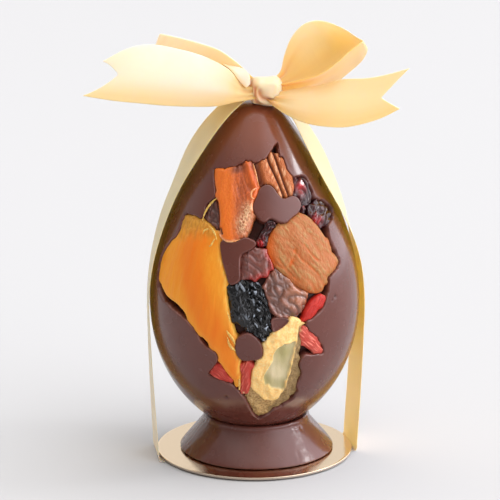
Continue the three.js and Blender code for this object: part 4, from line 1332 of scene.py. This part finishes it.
def makeBow():
    parts = {"knot": makeKnot()}
    for number, (name, own) in enumerate(bow.items()):
        spec = loose | own
        looped = name.startswith("loop")

        def pleated(side, far, spec=spec, looped=looped, seed=number):
            near = np.exp(-far / spec["reach"])
            if looped:
                near = near + np.exp(-(1 - far) / spec["reach"])
            wave = 0.6 * np.sin(tau * ribbon["pleatsAcross"] * side + 5 * seed)
            wave += grain(side * 3, far * 2, 1, 1, seed)
            soft = grain(side * 1.2, far * 2.5, 1, 1, seed + 20) * 0.5
            raised = spec["pleats"] * near * wave + soft * np.sin(pi * np.clip(far, 0, 1))
            # Painted light: warm shade in the gathers near the knot and in patches, pale sheen along the lit
            # part, and shade in the pleats' troughs
            broad = ramp(0.5, 0.62, far) + 0.25 * ramp(0.3, 0, far) if looped else ramp(0.5, 0.02, far)
            warm = spec["warm"] * broad + spec["tan"]
            for along, across, length, width in spec["patches"]:
                warm = warm + 0.4 * glow(far - along, length) * glow(side - across, width)
            pale = spec["pale"] * ramp(0.05, 0.4, far) * ramp(1, 0.5, side)
            pale *= 1 - ramp(0.5, 0.6, far) * looped
            crease = 0.9 * np.minimum(1, near) * ramp(0, -0.7, wave)
            return raised, np.clip(warm, 0, 1), pale, 0 * side, crease

        parts[name] = makeRibbon(
            "bow" + name[0].upper() + name[1:], spec["node"], betweenRails(spec), spec["steps"], pleated,
            spec["held"], [parts[other] for other in spec["goes"]])


def plain(side, far):
    # The straps are painted darker and yellower near the top as shade, and lighter lower down as light coming
    # through the ribbon
    lower = ramp(0.3, 0.8, far)
    return 0 * side, 0 * side, 0.9 * lower, 1 - 0.8 * lower, 0 * side


def strapAxes(azimuth):
    angle = np.radians(azimuth)
    outwards = np.column_stack([np.sin(angle), -np.cos(angle), np.zeros(len(angle))])
    return outwards, np.cross([0, 0, 1], outwards)


def makeStraps():
    for name, strap in straps.items():
        route = [[radius, np.interp(height, *zip(*strap)), height] for radius, height in strapLine]

        def place(side, far, route=route):
            line = railAt(route, far)
            gathered = gathering["share"] * ramp(gathering["from"], gathering["to"], line[:, 2])
            width = ribbon["width"] * (1 - gathered)
            outwards, sideways = strapAxes(line[:, 1])
            point = outwards * line[:, :1] + sideways * ((side - 0.5) * width)[:, None]
            point[:, 2] = line[:, 2]
            return point

        makeRibbon("strap" + name.capitalize(), f"ribbon_strap_{name}", place, ribbon["strapSteps"],
                   plain, "stretched")

    ends = [strapAxes(np.array([strap[0][1]])) for strap in straps.values()]

    def under(side, far):
        edges = []
        for (outwards, sideways), way in zip(ends, (1, -1)):
            across = (side - 0.5) * ribbon["width"] * way
            edges.append(outwards * underCard["radius"] + sideways * across[:, None])
        point = edges[0] + (edges[1] - edges[0]) * far[:, None]
        point[:, 2] = underCard["height"]
        return point

    makeRibbon("ribbonUnderCard", "ribbon_under_card", under, ribbon["underSteps"],
               plain, "stretched")


makeBow()
makeStraps()
print("ribbon tied")


# Light, floor and camera

studio = {
    "floor": 3, "floorShade": 194, # metres each way from the middle, and its grey from 0 to 255
    "sky": (0.36, 0.34, 0.32),
    # broad soft lights of the room: full inside `full` degrees of their direction, and none beyond `none`
    "glows": [
        {"towards": (1, 0.05, 0.12), "full": 35, "none": 82, "light": (2.25, 2.28, 2.5)},
        {"towards": (0, 0, 1), "full": 0, "none": 56, "light": (1.4, 1.4, 1.4)},
        {"towards": (-0.8, 0.6, 0.3), "full": 8, "none": 50, "light": (0.45, 0.45, 0.45)},
        {"towards": (0.75, -0.6, 0.3), "full": 0, "none": 50, "light": (0.3, 0.28, 0.26)},
        {"towards": (0, 1, 0.35), "full": 10, "none": 45, "light": (0.5, 0.48, 0.45)},
    ],
    # its strength is the light on a surface that faces it, against that of a white sky
    "window": {"at": (4.05, 0.3, 2.5), "aim": (0, 0, 0.1), "size": (0.8, 0.5), "strength": 0.14},
}
camera = {"at": (-0.0023, -0.94515, 0.32665), "aim": (-0.0023, 0, 0.10513), "lens": 138.8, "sensor": 36}


def makeStudio():
    bm = bmesh.new()
    bmesh.ops.create_grid(bm, x_segments=1, y_segments=1, size=studio["floor"] / mm)
    shade = rgb(*[studio["floorShade"]] * 3)
    addObject(bm, "floor", Finish("floor", shade, 0.9, Specular_IOR_Level=0.1).material)

    spec = studio["window"]
    at, aim = Vector(spec["at"]), Vector(spec["aim"])
    data = bpy.data.lights.new("window", "AREA")
    data.shape = "RECTANGLE"
    data.size, data.size_y = spec["size"]
    data.energy = spec["strength"] * (pi * (at - aim).length) ** 2
    light = bpy.data.objects.new("window", data)
    light.location = at
    light.rotation_euler = (aim - at).to_track_quat("-Z", "Y").to_euler()
    bpy.context.scene.collection.objects.link(light)

    data = bpy.data.cameras.new("camera")
    data.lens = camera["lens"]
    data.sensor_width = camera["sensor"]
    view = bpy.data.objects.new("camera", data)
    view.location = camera["at"]
    view.rotation_euler = (Vector(camera["aim"]) - Vector(camera["at"])).to_track_quat("-Z", "Y").to_euler()
    bpy.context.scene.collection.objects.link(view)
    bpy.context.scene.camera = view


def makeSky():
    world = bpy.data.worlds.new("sky")
    bpy.context.scene.world = world
    world.use_nodes = True
    tree = world.node_tree

    def added(kind, first, second, **settings):
        node = tree.nodes.new("ShaderNode" + kind)
        for name, value in settings.items():
            setattr(node, name, value)
        for socket, value in ((0, first), (1, second)):
            if isinstance(value, bpy.types.NodeSocket):
                tree.links.new(value, node.inputs[socket])
            else:
                node.inputs[socket].default_value = value
        return node

    way = tree.nodes.new("ShaderNodeTexCoord").outputs["Generated"]
    total = studio["sky"]
    for lamp in studio["glows"]:
        towards = Vector(lamp["towards"]).normalized()
        facing = added("VectorMath", way, towards, operation="DOT_PRODUCT").outputs["Value"]
        spread = added("MapRange", facing, cos(radians(lamp["none"])), interpolation_type="SMOOTHSTEP")
        spread.inputs["From Max"].default_value = cos(radians(lamp["full"]))
        light = added("VectorMath", lamp["light"], (0, 0, 0), operation="SCALE")
        tree.links.new(spread.outputs["Result"], light.inputs["Scale"])
        total = added("VectorMath", light.outputs["Vector"], total).outputs["Vector"]
    tree.links.new(total, tree.nodes["Background"].inputs["Color"])


makeStudio()
makeSky()
bpy.context.scene.view_settings.view_transform = "Standard"
print("studio set")
